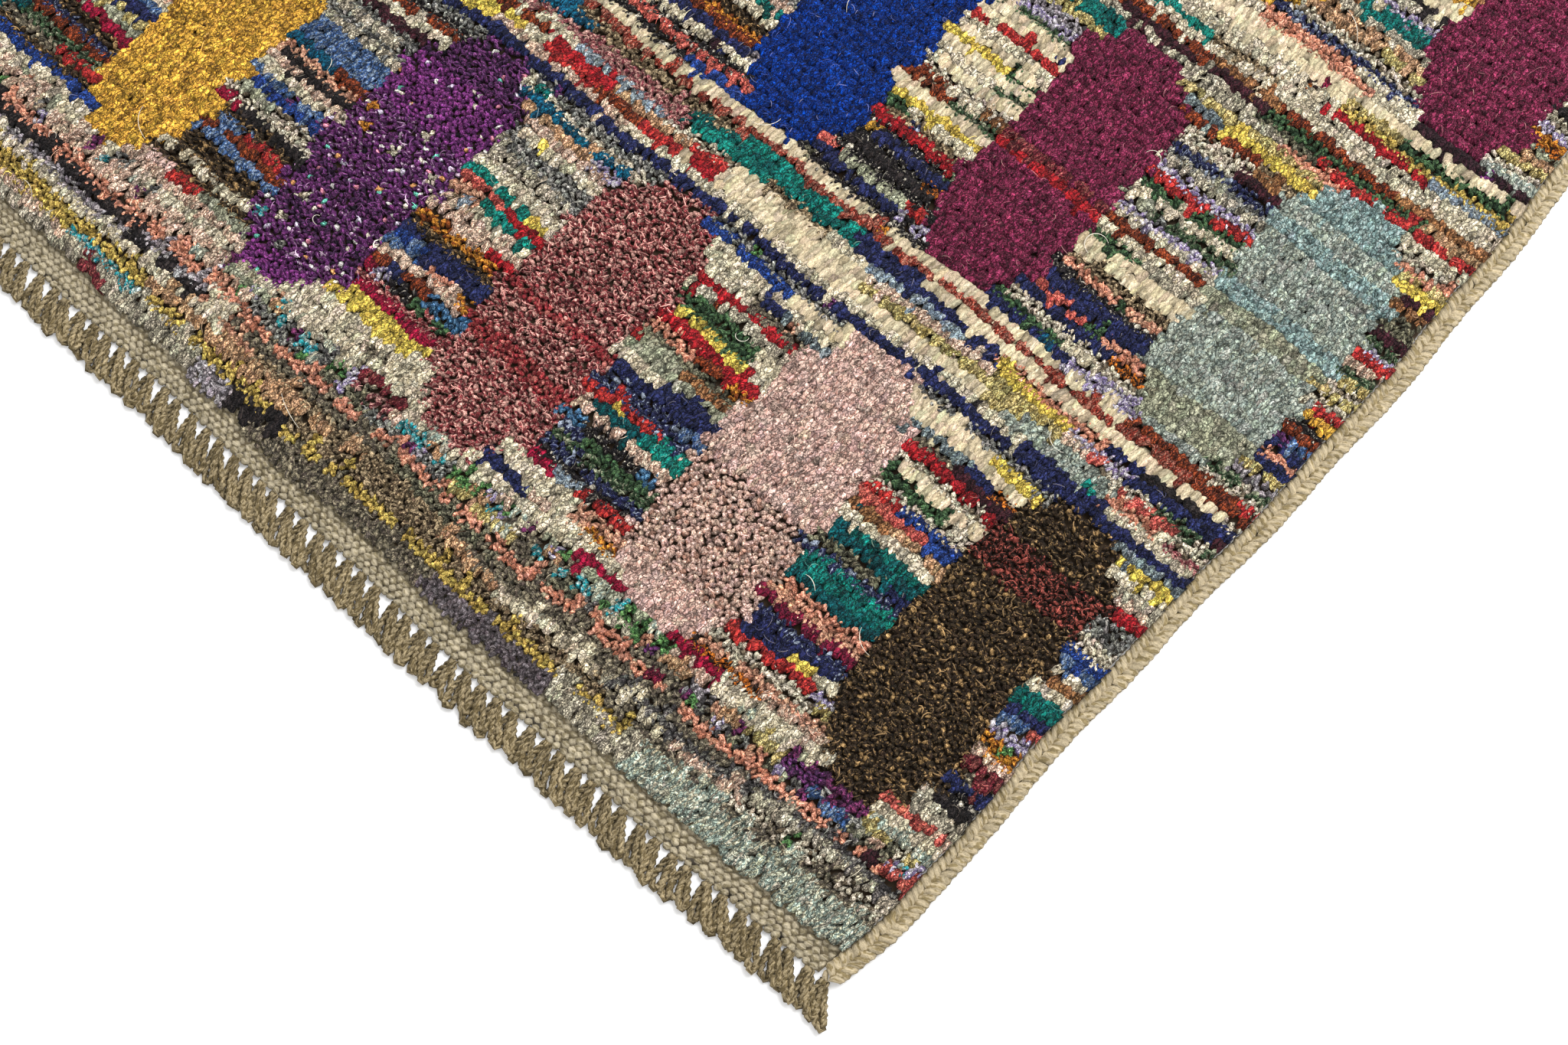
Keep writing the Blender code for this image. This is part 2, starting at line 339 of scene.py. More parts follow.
# %% The yarns: colour, second ply, share of the second ply, curl
YARNS = {
    "cream": ("E2D5B9", "BDAE8E", 0.25, 0.25),
    "combed cream": ("D7C6A5", "C3B18E", 0.20, 0.00),
    "gappy cream": ("E6DAC2", "7A6C58", 0.28, 0.60),
    "pink cream": ("F6D8BE", "CAA18A", 0.35, 0.45),
    "grey cream": ("E0D5BA", "9A907D", 0.35, 0.45),
    "grey": ("AFADA3", "51504E", 0.42, 0.60),
    "charcoal grey": ("9E9A90", "4B4747", 0.48, 0.60),
    "charcoal": ("61584C", "AA9E83", 0.32, 0.60),
    "brown charcoal": ("65543F", "C7AF8A", 0.36, 0.70),
    "olive grey": ("969176", "4D4B3D", 0.40, 0.60),
    "blue grey": ("99A5A4", "5F6C74", 0.35, 0.40),
    "lilac grey": ("BFB6B8", "70696D", 0.40, 0.55),
    "dark lilac": ("62585A", "90868A", 0.30, 0.65),
    "sage": ("A9AA90", "8B8C75", 0.30, 0.30),
    "sage blue": ("AAB0A2", "89968E", 0.30, 0.25),
    "sky blue": ("9FB3AD", "809A98", 0.40, 0.30),
    "aqua": ("E2DFC2", "A8B9AB", 0.40, 0.45),
    "pale sky": ("B6C2C6", "8495A6", 0.40, 0.40),
    "gold": ("F0B848", "A8772F", 0.26, 0.31),
    "mustard": ("E4C56A", "9D833F", 0.35, 0.65),
    "yellow": ("EFD25F", "C3A345", 0.25, 0.25),
    "cream yellow": ("E4D18C", "A48E50", 0.35, 0.40),
    "orange": ("E39A3A", "8D4A20", 0.35, 0.80),
    "dark orange": ("D97A2A", "33241F", 0.42, 0.75),
    "coral": ("EC7868", "B04642", 0.35, 0.45),
    "salmon": ("FBB597", "C88065", 0.40, 0.60),
    "pale salmon": ("ECB595", "B47B63", 0.35, 0.50),
    "peach": ("E7B98F", "A67B56", 0.35, 0.45),
    "tan": ("AE7A50", "6B4529", 0.35, 0.30),
    "rust": ("A24A28", "5C2A1C", 0.38, 0.35),
    "rust melange": ("933527", "BF7965", 0.38, 0.45),
    "red": ("B3232A", "8A1B22", 0.30, 0.15),
    "scarlet": ("C33A34", "8F2327", 0.35, 0.30),
    "crimson": ("A3183A", "7A122E", 0.30, 0.20),
    "raspberry": ("8F2140", "5F1730", 0.38, 0.25),
    "burgundy": ("742430", "B0605A", 0.30, 0.45),
    "maroon": ("472029", "2C161B", 0.35, 0.20),
    "maroon melange": ("87434A", "D0A094", 0.40, 0.60),
    "dusty pink": ("E1BDAF", "CB9A8B", 0.22, 0.25),
    "gappy pink": ("EFCAB9", "C1937F", 0.25, 0.60),
    "magenta": ("8E4070", "4F2A4A", 0.42, 0.55),
    "purple": ("80427D", "472A4C", 0.45, 0.80),
    "bright purple": ("9C4897", "642E66", 0.40, 0.70),
    "specked purple": ("6C346D", "E0C0D8", 0.10, 0.85),
    "lilac": ("8F7FA8", "DAD3D8", 0.40, 0.55),
    "dark brown": ("3E3124", "B79362", 0.20, 0.85),
    "reddish brown": ("33201A", "B85C50", 0.34, 0.85),
    "rust brown": ("8B3D40", "EFB5A7", 0.34, 0.85),
    "red brown": ("9B343A", "D17D72", 0.28, 0.60),
    "plum": ("9A355A", "67203A", 0.40, 0.45),
    "dark plum": ("3A2028", "231418", 0.35, 0.20),
    "royal blue": ("053D9C", "03266F", 0.35, 0.45),
    "denim": ("3F5F92", "8FA3BC", 0.32, 0.45),
    "navy": ("2C3260", "1A1E3C", 0.35, 0.25),
    "specked navy": ("2A2E52", "A9B4C6", 0.18, 0.60),
    "blue": ("2F50A0", "1E3470", 0.35, 0.35),
    "light blue": ("6A97BC", "2F5A80", 0.45, 0.60),
    "petrol": ("12617E", "0C3F58", 0.35, 0.30),
    "teal": ("12766C", "0B4F50", 0.35, 0.25),
    "dark teal": ("0C5A5E", "083C42", 0.35, 0.20),
    "bright teal": ("189080", "0F6660", 0.35, 0.30),
    "turquoise": ("2F98A0", "BFD2CC", 0.30, 0.50),
    "green": ("56754E", "2F4630", 0.40, 0.50),
    "dark green": ("3C5238", "A6A98C", 0.24, 0.55),
    "fresh green": ("6FA05E", "3D6038", 0.40, 0.60),
    "black": ("211D1E", "3A3230", 0.30, 0.25),
    "specked black": ("242022", "D4CBB8", 0.16, 0.65),
}
yarn_names = list(YARNS)
yarn_colours = np.array([linear(YARNS[name][0]) for name in yarn_names])
ply_colours = np.array([linear(YARNS[name][1]) for name in yarn_names])
ply_shares = np.array([YARNS[name][2] for name in yarn_names])
curls = np.array([YARNS[name][3] for name in yarn_names])
print(len(yarn_names), "yarns in the basket")

# %% [markdown]
# ## The weaver's chart
# The design is a common one on rugs from leftover yarn: upright bars, one above the
# other in rows, with short stripes between them and long stripes between the rows. The
# chart names the yarn of each row of knots, from the near fringe on, and a semicolon
# ends a row. A number between two yarns says where the second one starts: in hundredths
# of the way between two bars, or in millimetres from the right side for a stripe that
# runs right across.

# %% The knots
KNOT_COLUMNS = 138
KNOT_ROWS = 222
PILE_SPILL = 0.001
ROW_PITCH = 2 * PILE_HALF_LENGTH / KNOT_ROWS
COLUMN_PITCH = 2 * (BODY_HALF_WIDTH + PILE_SPILL) / KNOT_COLUMNS
print(f"knots {1000 * COLUMN_PITCH:.2f} x {1000 * ROW_PITCH:.2f} mm, {KNOT_ROWS * KNOT_COLUMNS} in all")

# %% Long stripes of the border, from the flat weave to the first bars, row by row
BORDER = """
aqua 160 grey cream 222 dark lilac 322 charcoal 470 black 493 lilac grey 520 grey cream 596 burgundy 622
    grey cream;
aqua 60 aqua 165 grey cream 222 dark lilac 322 charcoal 455 black 492 lilac grey 522 grey cream 640 pink
    cream;
aqua 165 mustard 574 turquoise 640 mustard;
charcoal 200 brown charcoal 404 brown charcoal 450 peach 576 mustard;
gappy cream 58 fresh green 66 gappy cream 104 pink cream 150 cream 286 peach 330 brown charcoal 400
    peach 520 cream;
grey cream 100 charcoal grey 200 charcoal 330 brown charcoal 500 pale salmon 548 black 606 lilac grey;
charcoal grey 104 charcoal 300 olive grey 388 charcoal 520 cream 545 lilac grey 604 black;
coral 12 salmon;
turquoise 12 olive grey 44 denim 70 magenta 95 olive grey 132 magenta 142 charcoal 214 grey cream 226
    olive grey 272 charcoal 300 cream yellow 350 grey 420 olive grey 455 grey 520 pink cream;
cream yellow 44 magenta 74 purple 96 cream yellow 132 peach 142 fresh green 158 lilac grey 170 peach 180
    purple 206 fresh green 248 turquoise 266 charcoal 312 peach 338 fresh green 362 turquoise 400 maroon
    melange 442 fresh green 468 turquoise 512 sage 560 pink cream;
aqua 36 magenta 96 cream 160 pink cream 190 fresh green 215 sage 262 charcoal 300 cream 400 burgundy 440
    cream 500 turquoise 515 cream
"""

# %% Long stripes between the first and the second bars
FIRST_BAND = """
navy;
cream 60 navy 118 cream 372 cream 440 pink cream 552 yellow;
maroon melange 18 salmon 66 sage blue 138 cream yellow 166 combed cream 378 red 396 combed cream 402
    scarlet 432 rust 470 scarlet 514 cream 536 yellow;
gappy cream 22 coral 70 sage blue 140 cream yellow 262 combed cream 376 scarlet 400 peach 468 red 520
    rust;
dark green 38 gappy cream 76 coral 92 pink cream 112 cream yellow 166 pink cream 262 combed cream 372
    gappy cream 424 pale sky 500 cream;
maroon 6 navy 58 lilac 108 yellow 166 navy 190 pale sky 268 cream 302 brown charcoal 350 bright teal 412
    maroon melange;
navy 22 black 62 navy 84 salmon 172 navy 284 teal 412 maroon melange 500 petrol;
gappy cream 6 combed cream 236 navy 284 bright teal 386 brown charcoal 520 petrol;
rust 40 rust melange;
scarlet 8 rust 96 combed cream
"""

# %% Long stripes between the second and the third bars
SECOND_BAND = """
scarlet 112 olive grey 160 grey cream;
peach 38 green 152 maroon 270 rust;
tan 60 rust 150 tan 200 rust;
cream;
cream 40 grey cream 140 cream 162 brown charcoal 214 bright teal 262 cream 420 coral;
pale sky 56 red 130 cream 480 mustard;
mustard 122 cream 400 sage;
green 78 cream yellow 122 combed cream 360 lilac grey;
combed cream
"""

# %% Short stripes of the panels between the bars, row by row
PANELS = {
    "right side, first": """
        cream; pink cream 50 coral; grey cream; grey cream; black; specked black; navy; burgundy;
        burgundy; pink cream; orange; orange; lilac; denim; navy; teal; teal; cream; tan; cream; denim;
        blue; gappy cream; gappy cream; grey; grey; red; pink cream; grey cream; cream; yellow; blue
        grey""",
    "first": """
        cream 70 crimson; pink cream 40 dark orange; pale salmon; gappy cream; lilac 10 scarlet; cream
        22 yellow 50 navy; navy; specked navy; raspberry; pale salmon; salmon; dark teal; teal; bright
        teal; specked navy; navy 25 olive grey; dark teal; teal; cream; peach 55 tan; blue 28 coral;
        blue 62 scarlet; gappy cream; cream 28 green; combed cream; gappy cream; red; maroon 60
        charcoal; dark orange 20 navy 50 blue grey; combed cream; yellow 40 combed cream; grey""",
    "second": """
        crimson 12 cream; cream 48 pink cream 72 navy; orange 20 pale salmon 40 cream; pale salmon 35
        cream; scarlet 45 pale sky 68 crimson; specked black; specked navy; dark green; green 70 specked
        navy; light blue 25 specked black 78 light blue; pink cream; bright teal 35 dark teal; bright
        teal 32 scarlet 60 yellow 75 scarlet; specked navy; denim 20 specked navy; navy; navy 58 cream;
        sage; tan 60 sage; olive grey; orange 20 rust 50 salmon; red; cream 12 yellow; cream 20 green;
        cream 25 green; grey cream; red; charcoal 50 cream; blue grey 35 navy 58 cream; cream; combed
        cream 42 blue; grey""",
    "third": """
        cream; cream 20 charcoal 45 cream; cream; cream 12 yellow; yellow; crimson 84 blue; rust brown;
        green 40 specked black 70 lilac; light blue 36 rust 62 navy 80 rust; pink cream; orange 30
        salmon 50 denim; navy 60 blue; navy; dark brown; orange; red 30 pink cream; pink cream; cream 60
        brown charcoal; bright teal 66 pale salmon; red 45 coral; yellow 30 bright teal; cream; gappy
        cream; grey cream; grey; grey; cream; pink cream; lilac 25 peach; petrol; gappy cream; grey""",
    "fourth": """
        pink cream; sage 40 scarlet 75 dusty pink; dark brown; cream; dark brown; dark brown; denim;
        rust; scarlet 45 denim; dark brown; black 78 crimson; gappy cream; gappy cream 50 sage; blue;
        denim; cream; pink cream; black; pale salmon; rust 38 petrol; denim; denim; denim; grey cream;
        grey; grey cream; grey; maroon; cream; rust; specked black; grey""",
    "fifth": """
        cream; blue; dark brown; scarlet 50 charcoal; dark green; rust; specked navy; dark brown;
        crimson; sage; cream yellow; navy; denim; cream; pale salmon; black; teal; teal; cream; salmon;
        royal blue; gappy cream; green; combed cream; cream; red; maroon; blue grey; combed cream;
        yellow; grey; grey""",
    "right side, second": """
        gappy cream; dark green; lilac grey; cream yellow; navy; salmon; navy; denim 50 purple; rust;
        specked black; gold; scarlet; gappy cream; cream yellow; gappy cream; cream yellow; dark green;
        pink cream; scarlet; lilac; dark green; maroon; olive grey; olive grey; tan; maroon; yellow;
        cream yellow; salmon; gappy cream; cream""",
    "sixth": """
        lilac 45 navy; lilac 20 cream 50 green; gappy cream; dark orange 20 navy; salmon 40 green 50
        coral; navy; navy; specked black; pale salmon 30 green 40 salmon; brown charcoal; combed cream;
        combed cream; grey cream 50 green; cream; rust; cream; lilac; dark green 70 sage; cream; green;
        scarlet; lilac; grey cream; grey; specked navy; maroon 40 gappy cream; tan 35 gappy cream; brown
        charcoal 35 rust; yellow 80 blue grey; cream yellow; salmon 35 grey cream""",
    "seventh": """
        specked black; lilac 20 navy; scarlet 15 sage 85 coral; specked black; black; dark orange 12
        specked black; navy 80 gold; dark green 10 specked black; red; brown charcoal; cream 70 green;
        yellow; combed cream; dark green 50 rust; tan 25 cream 60 rust; gappy cream; combed cream; dark
        green 35 cream; combed cream; green 35 yellow; combed cream; cream; scarlet; navy 12 combed
        cream; combed cream; dark green; lilac; lilac grey; cream yellow; teal; teal""",
    "eighth": """
        blue 30 specked black; coral; specked black; cream; navy; rust; orange; dark brown; cream; teal;
        pink cream; grey; crimson; cream yellow; navy; sage; salmon; black; combed cream; combed cream;
        green; grey; scarlet; cream; denim; denim; pale salmon; brown charcoal; cream; yellow; grey
        cream""",
    "right side, third": """
        sage blue; gappy cream; cream yellow; peach; sage; dark orange; orange; lilac; gappy cream;
        black; cream; grey; rust; teal; navy; cream; salmon; burgundy; black; denim; cream yellow;
        cream; green; grey; scarlet; cream; lilac; tan; cream; navy; grey cream""",
    "ninth": """
        cream 40 salmon; specked navy; gappy cream; cream yellow 30 peach; peach; grey cream; teal 70
        tan; teal 60 cream; lilac; grey cream; black; combed cream; combed cream; gold; tan; cream;
        navy; crimson; sage; black; salmon; cream; denim; denim; grey; cream; scarlet; olive grey;
        cream; yellow; cream""",
}


def yarn_rows(text):
    """The rows of a chart, each as a list of (start, number of the yarn)."""
    rows = []
    for row in text.split(";"):
        starts = [0.0]
        names = [[]]
        for word in row.split():
            if word[0].isdigit():
                starts.append(float(word))
                names.append([])
            else:
                names[-1].append(word)
        rows.append([(start, yarn_names.index(" ".join(words))) for start, words in zip(starts, names)])
    return rows


panel_rows = {name: yarn_rows(text) for name, text in PANELS.items()}
for name, rows in panel_rows.items():
    print(name, len(rows), "rows")

# %% The bars: first and last row, the panels between them, then each bar with its two sides
# a number in a bar's text is the row where the next yarn starts; the sides are in millimetres
BARS = [
    (11, 42, ["right side, first", "first", "second", "third", "fourth", "fifth", "ninth"], [
        ("dark brown 23 reddish brown 27 dark brown", 20, 104),
        ("dusty pink 4 gappy pink 15 dusty pink", 172, 258),
        ("rust brown 9 red brown 11 rust brown 15 red brown 16 rust brown", 335, 420),
        ("""bright purple 3 specked purple 6 purple 8 specked purple 10 purple 13 specked purple
             21 bright purple 27 purple""", 490, 572),
        ("gold", 635, 703),
        ("dark teal 6 teal 21 dark teal", 772, 846),
    ]),
    (53, 83, ["right side, second", "sixth", "seventh", "eighth", "first", "fourth", "ninth"], [
        ("""sage blue 1 sage 5 sage blue 13 sage 15 sky blue 17 sage blue 23 sky blue 25 sage blue
             27 sky blue""", 15, 103),
        ("plum 13 red 14 burgundy 15 plum", 180, 265),
        ("royal blue", 332, 415),
        ("tan 10 orange 12 tan", 488, 568),
        ("burgundy", 640, 716),
        ("sage 12 green 14 sage", 780, 850),
    ]),
    (94, 125, ["right side, third", "ninth", "fourth", "second", "third", "sixth", "first"], [
        ("plum", 17, 100),
        ("gold", 176, 256),
        ("dark brown", 334, 418),
        ("dusty pink 7 gappy pink 13 dusty pink", 490, 566),
        ("teal", 632, 712),
        ("rust brown", 774, 850),
    ]),
    (136, 167, ["right side, first", "seventh", "eighth", "first", "second", "fifth", "third"], [
        ("purple 9 bright purple 14 purple", 22, 106),
        ("sage blue 15 sky blue 19 sage blue", 178, 260),
        ("rust brown 8 red brown 11 rust brown", 330, 410),
        ("navy 6 blue 18 navy", 486, 566),
        ("dusty pink", 640, 718),
        ("plum", 784, 852),
    ]),
    (178, 209, ["right side, second", "fourth", "sixth", "second", "ninth", "third", "eighth"], [
        ("rust brown", 18, 98),
        ("teal 12 dark teal", 170, 254),
        ("gold", 328, 412),
        ("plum", 484, 570),
        ("dark brown 16 reddish brown 19 dark brown", 636, 716),
        ("sage", 782, 850),
    ]),
]

# %% [markdown]
# ## Reading the chart
# For each knot the script asks: is this a bar, a panel between two bars, or a long
# stripe? A weaver counts knots, but not perfectly, so each yarn may start a knot early or
# late, and here and there one knot has a stray yarn in it. All of that comes from one
# seeded source of random numbers, so the rug is the same one every time.

# %% One function ties a line of the chart
# the first knot hides three millimetres under the wraps, where the chart doesn't count it
RIGHT_SIDE_U = 0.4358
FIRST_KNOT_MM = 3.0
BEFORE_ALL_MM = -20.0
BAND_WANDER = 2.0
PANEL_WANDER = 2.5
from_right = (0.5 + np.arange(KNOT_COLUMNS)) * COLUMN_PITCH * 1000 - FIRST_KNOT_MM
knots = np.zeros((KNOT_ROWS, KNOT_COLUMNS), int)
in_bar = np.zeros((KNOT_ROWS, KNOT_COLUMNS), bool)


def tie_row(row, steps, start=0.0, end=100.0, begin=BEFORE_ALL_MM, wander=BAND_WANDER):
    """Ties a line of the chart from begin on; its numbers go from start to end, in millimetres."""
    knots[row, from_right >= begin] = steps[0][1]
    for mark, yarn in steps[1:]:
        border_at = start + mark / 100.0 * (end - start) + random_numbers.uniform(-wander, wander)
        knots[row, from_right >= border_at] = yarn


# %% The long stripes, each band from its first row of knots on
border = yarn_rows(BORDER)
first_band = yarn_rows(FIRST_BAND)
second_band = yarn_rows(SECOND_BAND)
LONG_STRIPES = (
    (0, border),
    (43, first_band),
    (84, second_band),
    (93, yarn_rows("dark plum 82 cream 112 salmon 200 cream")),
    (126, first_band[::-1]),
    (168, second_band),
    (177, yarn_rows("navy")),
    (210, border[::-1] + border[:1]),
)
for first_row, rows in LONG_STRIPES:
    for place, steps in enumerate(rows):
        tie_row(first_row + place, steps)
print("rows with long stripes:", sum(len(rows) for _, rows in LONG_STRIPES))

# %% The panels with their short stripes, and then the bars
# the warps wander, so a whole band of bars may sit a few millimetres aside
BAND_SHIFTS = {53: 6.5, 136: 4.0, 178: -3.0}
RIGHT_EDGE_MM = -8.0
LEFT_EDGE_MM = 880.0
BAR_END_STEPS = (21, 17, 11, 8, 2)
PAIR_WANDER = 2.2
ROW_WANDER = 1.0
for first, last, panels, bars in BARS:
    shift = BAND_SHIFTS.get(first, 0.0)
    bars = [(text, start + shift, end + shift) for text, start, end in bars]
    begins = [BEFORE_ALL_MM] + [0.5 * (start + end) for _, start, end in bars]
    panel_starts = [RIGHT_EDGE_MM] + [end for _, _, end in bars]
    panel_ends = [start for _, start, _ in bars] + [LEFT_EDGE_MM]
    for row in range(first, last + 1):
        for panel, begin, start, end in zip(panels, begins, panel_starts, panel_ends):
            rows = panel_rows[panel]
            tie_row(row, rows[min(row - first, len(rows) - 1)], start, end, begin, PANEL_WANDER)
    for text, start, end in bars:
        steps = yarn_rows(text)[0]
        ragged = noise(0, PAIR_WANDER, ((last - first) // 2 + 1, 2))
        for row in range(first, last + 1):
            place = row - first
            from_end = min(place, last - row)
            trim = BAR_END_STEPS[from_end] if from_end < len(BAR_END_STEPS) else 0.0
            low = start + trim + ragged[place // 2, 0] + noise(0, ROW_WANDER)
            high = end - trim + ragged[place // 2, 1] + noise(0, ROW_WANDER)
            inside = (from_right >= low) & (from_right < high)
            knots[row, inside] = [yarn for mark, yarn in steps if mark <= place][-1]
            in_bar[row, inside] = True
print("knots in bars:", int(in_bar.sum()), "of", knots.size)

# %% The last rows of the border are tied with whatever pastel end comes to hand
NEAR_BORDER_ROWS = 11
FAR_BORDER_START = 210
PASTEL_ROWS = 3
PASTEL_SHARE = 0.30
PASTELS = ("fresh green", "turquoise", "magenta", "lilac", "pink cream", "grey", "pale salmon",
           "gappy cream", "sage", "charcoal grey", "peach", "aqua")
row_number = np.arange(KNOT_ROWS)[:, None]
in_border = (row_number < NEAR_BORDER_ROWS) | (row_number >= FAR_BORDER_START)
past_near = row_number >= NEAR_BORDER_ROWS - PASTEL_ROWS
before_far = row_number < FAR_BORDER_START + PASTEL_ROWS
beside_bars = in_border & past_near & before_far & ~in_bar
mixed_in = beside_bars & (random_numbers.random(knots.shape) < PASTEL_SHARE)
pastel_numbers = np.array([yarn_names.index(name) for name in PASTELS])
knots = np.where(mixed_in, pastel_numbers[random_numbers.integers(0, len(PASTELS), knots.shape)], knots)
print("pastel ends:", int(mixed_in.sum()))

# %% Lint and short ends of other yarns, caught while the purple bars were knotted
CAUGHT_SHARES = (("gappy cream", 0.045), ("orange", 0.016), ("turquoise", 0.010), ("grey", 0.02))
specked_number = yarn_names.index("specked purple")
specked = knots == specked_number
for name, share in CAUGHT_SHARES:
    caught = specked & (random_numbers.random(knots.shape) < share)
    knots[caught] = yarn_names.index(name)
print("knots caught in them:", int((specked & (knots != specked_number)).sum()))

# %% Here and there a leftover end of the row below, or of any yarn at all
STRAY_IN_BAR = 0.002
STRAY_ELSEWHERE = 0.030
STRAY_MORE_IN_BORDER = 0.10
FOREIGN_IN_BORDER = 0.03
FOREIGN_ELSEWHERE = 0.25
stray_share = np.where(in_bar, STRAY_IN_BAR, STRAY_ELSEWHERE)
stray_share = stray_share + np.where(in_border, STRAY_MORE_IN_BORDER, 0.0)
stray = random_numbers.random(knots.shape) < stray_share
other = random_numbers.integers(0, len(yarn_names), knots.shape)
row_below_it = np.roll(knots, 1, axis=0)
foreign_share = np.where(in_border, FOREIGN_IN_BORDER, FOREIGN_ELSEWHERE)
foreign = random_numbers.random(knots.shape) < foreign_share
knots = np.where(stray, np.where(foreign, other, row_below_it), knots)
print("stray knots:", int(stray.sum()))

# %% [markdown]
# ## Two kinds of cut end
# Each knot leaves two cut ends. Where the yarn is combed, an end lies over towards the
# near fringe like a small roof tile: three points wide and four long, it rises from the
# ground and curls down at its tip. Where the yarn is springy, as in the thick bars, the
# ends stand up and only their tops show, as grains a few millimetres wide. A grain is a
# ring of five points and a top. Hair or curves with a thickness would do as well for a
# small patch, but there are ninety thousand ends here, and each would cost many more
# faces. Smooth shading rounds the small grids, so that few triangles are enough.

# %% Which knots stand up, and how far the knots of a column stray together
GRAIN_CURL = 0.5
SHEAF_ROWS = 4
FURROWED = ("sage", "sage blue", "sky blue", "combed cream", "cream", "aqua")
FURROW_WANDER = 0.42
OTHER_WANDER = 0.12
KNOT_NOISES = 4
stands_up = curls[knots] >= GRAIN_CURL
# four numbers a knot: a spare one, then how both its ends lie along the rug, turn and lift
knot_noise_of = noise(0, 1, (KNOT_ROWS, KNOT_COLUMNS, KNOT_NOISES))
# knots above each other lean together, so that the furrows between them run over a few rows
loose_noise = noise(0, 1, (KNOT_ROWS + SHEAF_ROWS - 1, KNOT_COLUMNS))
sheaf_noise = sum(loose_noise[k:k + KNOT_ROWS] for k in range(SHEAF_ROWS)) / np.sqrt(SHEAF_ROWS)
furrowed_numbers = [yarn_names.index(name) for name in FURROWED]
sheaf_wander = np.where(np.isin(knots, furrowed_numbers), FURROW_WANDER, OTHER_WANDER)
sheaf_noise = sheaf_noise * sheaf_wander * MM
print("knots that stand up:", int(stands_up.sum()))

# %% How the rows of knots bend: one swell by the near end, and ripples all over
SWELL_HEIGHT = 0.0042
SWELL_LENGTH = 1.02
SWELL_U = 0.463
SWELL_V = -0.44
SWELL_REACH = 0.10
RIPPLES = ((0.0011, 0.17, 0.35), (0.0008, 0.071, -0.09))
DRIFT_FADE = 0.03
BOUNDARY_FADE = 0.04


def row_drift(u, v):
    """Rows aren't straight: each bends by a few millimetres, as its neighbours do."""
    swell = SWELL_HEIGHT * np.sin(2 * np.pi * (SWELL_U - u) / SWELL_LENGTH)
    swell = swell * np.exp(-((v - SWELL_V) / SWELL_REACH) ** 2)
    small = sum(height * np.sin(2 * np.pi * (u / u_length + v / v_length))
                for height, u_length, v_length in RIPPLES)
    from_end = PILE_HALF_LENGTH - np.abs(v)
    fade = np.clip(from_end / DRIFT_FADE, 0.0, 1.0)
    wavy_end = np.sign(v) * wave_sum(BOUNDARY_WAVES, u)
    return (swell + small) * fade - wavy_end * np.clip(1 - from_end / BOUNDARY_FADE, 0.0, 1.0)


# %% Where the pile stops, and how it is clipped towards the flat weave
PILE_TOP = 11.3 * MM
OUTERMOST = BODY_HALF_WIDTH + PILE_SPILL
NEAR_LIMIT = -PILE_HALF_LENGTH + 0.0018
SLOPE_FOOT = 3.9 * MM
SLOPE_OUTSIDE = 0.006
SLOPE_DEPTH = 0.026
SLOPE_LEAST = 0.22


def slope_down(v, z):
    """The first and last rows are clipped lower, so the pile meets the flat weave in a slope."""
    inside = np.clip((PILE_HALF_LENGTH + SLOPE_OUTSIDE - np.abs(v)) / SLOPE_DEPTH, 0.0, 1.0)
    return SLOPE_FOOT + (z - SLOPE_FOOT) * (SLOPE_LEAST + (1 - SLOPE_LEAST) * inside)


# %% Values for a smooth yarn and for the curliest
ROOT_WANDER_U = (0.15, 0.65)
ROOT_WANDER_V = (0.3, 1.0)
TWIN_GAP = (0.44, 0.50)
END_LENGTH = (13.2, 9.6)
END_HALF_WIDTH = (2.80, 2.20)
END_YAW = (3.5, 27.5)
END_LIFT = (0.22, 0.62)
END_BEND = (0.2, 0.7)
END_ALONG = (np.array([0.0, 0.30, 0.74, 1.0]), np.array([0.0, 0.30, 0.72, 1.0]))
END_HEIGHT = (np.array([6.2, 9.5, 10.6, 9.7]) * MM, np.array([5.6, 9.8, 10.6, 7.2]) * MM)
# painted shade along each combed end, darkest at the root
END_SHADE = (np.array([0.50, 0.80, 0.97, 0.92]), np.array([0.30, 0.85, 1.05, 0.72]))


def by_curl(smooth_and_curly, share):
    """What lies this share of the way from the value for smooth yarn to that for curly yarn."""
    smooth, curly = smooth_and_curly
    return smooth + (curly - smooth) * share


def varied(number, spread, least, most):
    """A factor near 1 for each thing, because no two are made alike."""
    return np.clip(1 + noise(0, spread, number), least, most)


# %% Combed ends: where the root of each is
SWAP_SHARE = 0.05
ROOT_ROW = 1.85
SIDE_SPILL = 0.96 * MM
KNOT_WANDER = 0.4
tile_row, tile_column, twin = np.nonzero(np.repeat(~stands_up[:, :, None], 2, axis=2))
tiles = len(tile_row)
yarn_of = knots[tile_row, tile_column]
# one end in twenty belongs to the row above: stripes interlock
swap = (random_numbers.random(tiles) < SWAP_SHARE) & (tile_row < KNOT_ROWS - 1)
yarn_of = np.where(swap, knots[np.minimum(tile_row + 1, KNOT_ROWS - 1), tile_column], yarn_of)
curl = curls[yarn_of]
knot_noise = knot_noise_of[tile_row, tile_column]
root_u = RIGHT_SIDE_U - (tile_column + 0.5) * COLUMN_PITCH
root_u = root_u - (twin - 0.5) * by_curl(TWIN_GAP, curl) * COLUMN_PITCH
root_u = root_u + noise(0, 1, tiles) * MM * by_curl(ROOT_WANDER_U, curl) + sheaf_noise[tile_row, tile_column]
right_most = (tile_column == 0) & (twin == 0)
left_most = (tile_column == KNOT_COLUMNS - 1) & (twin == 1)
outwards = right_most.astype(float) - left_most
root_u = root_u + outwards * np.abs(noise(0, 1, tiles)) * SIDE_SPILL
root_v = -PILE_HALF_LENGTH + (tile_row + ROOT_ROW) * ROW_PITCH
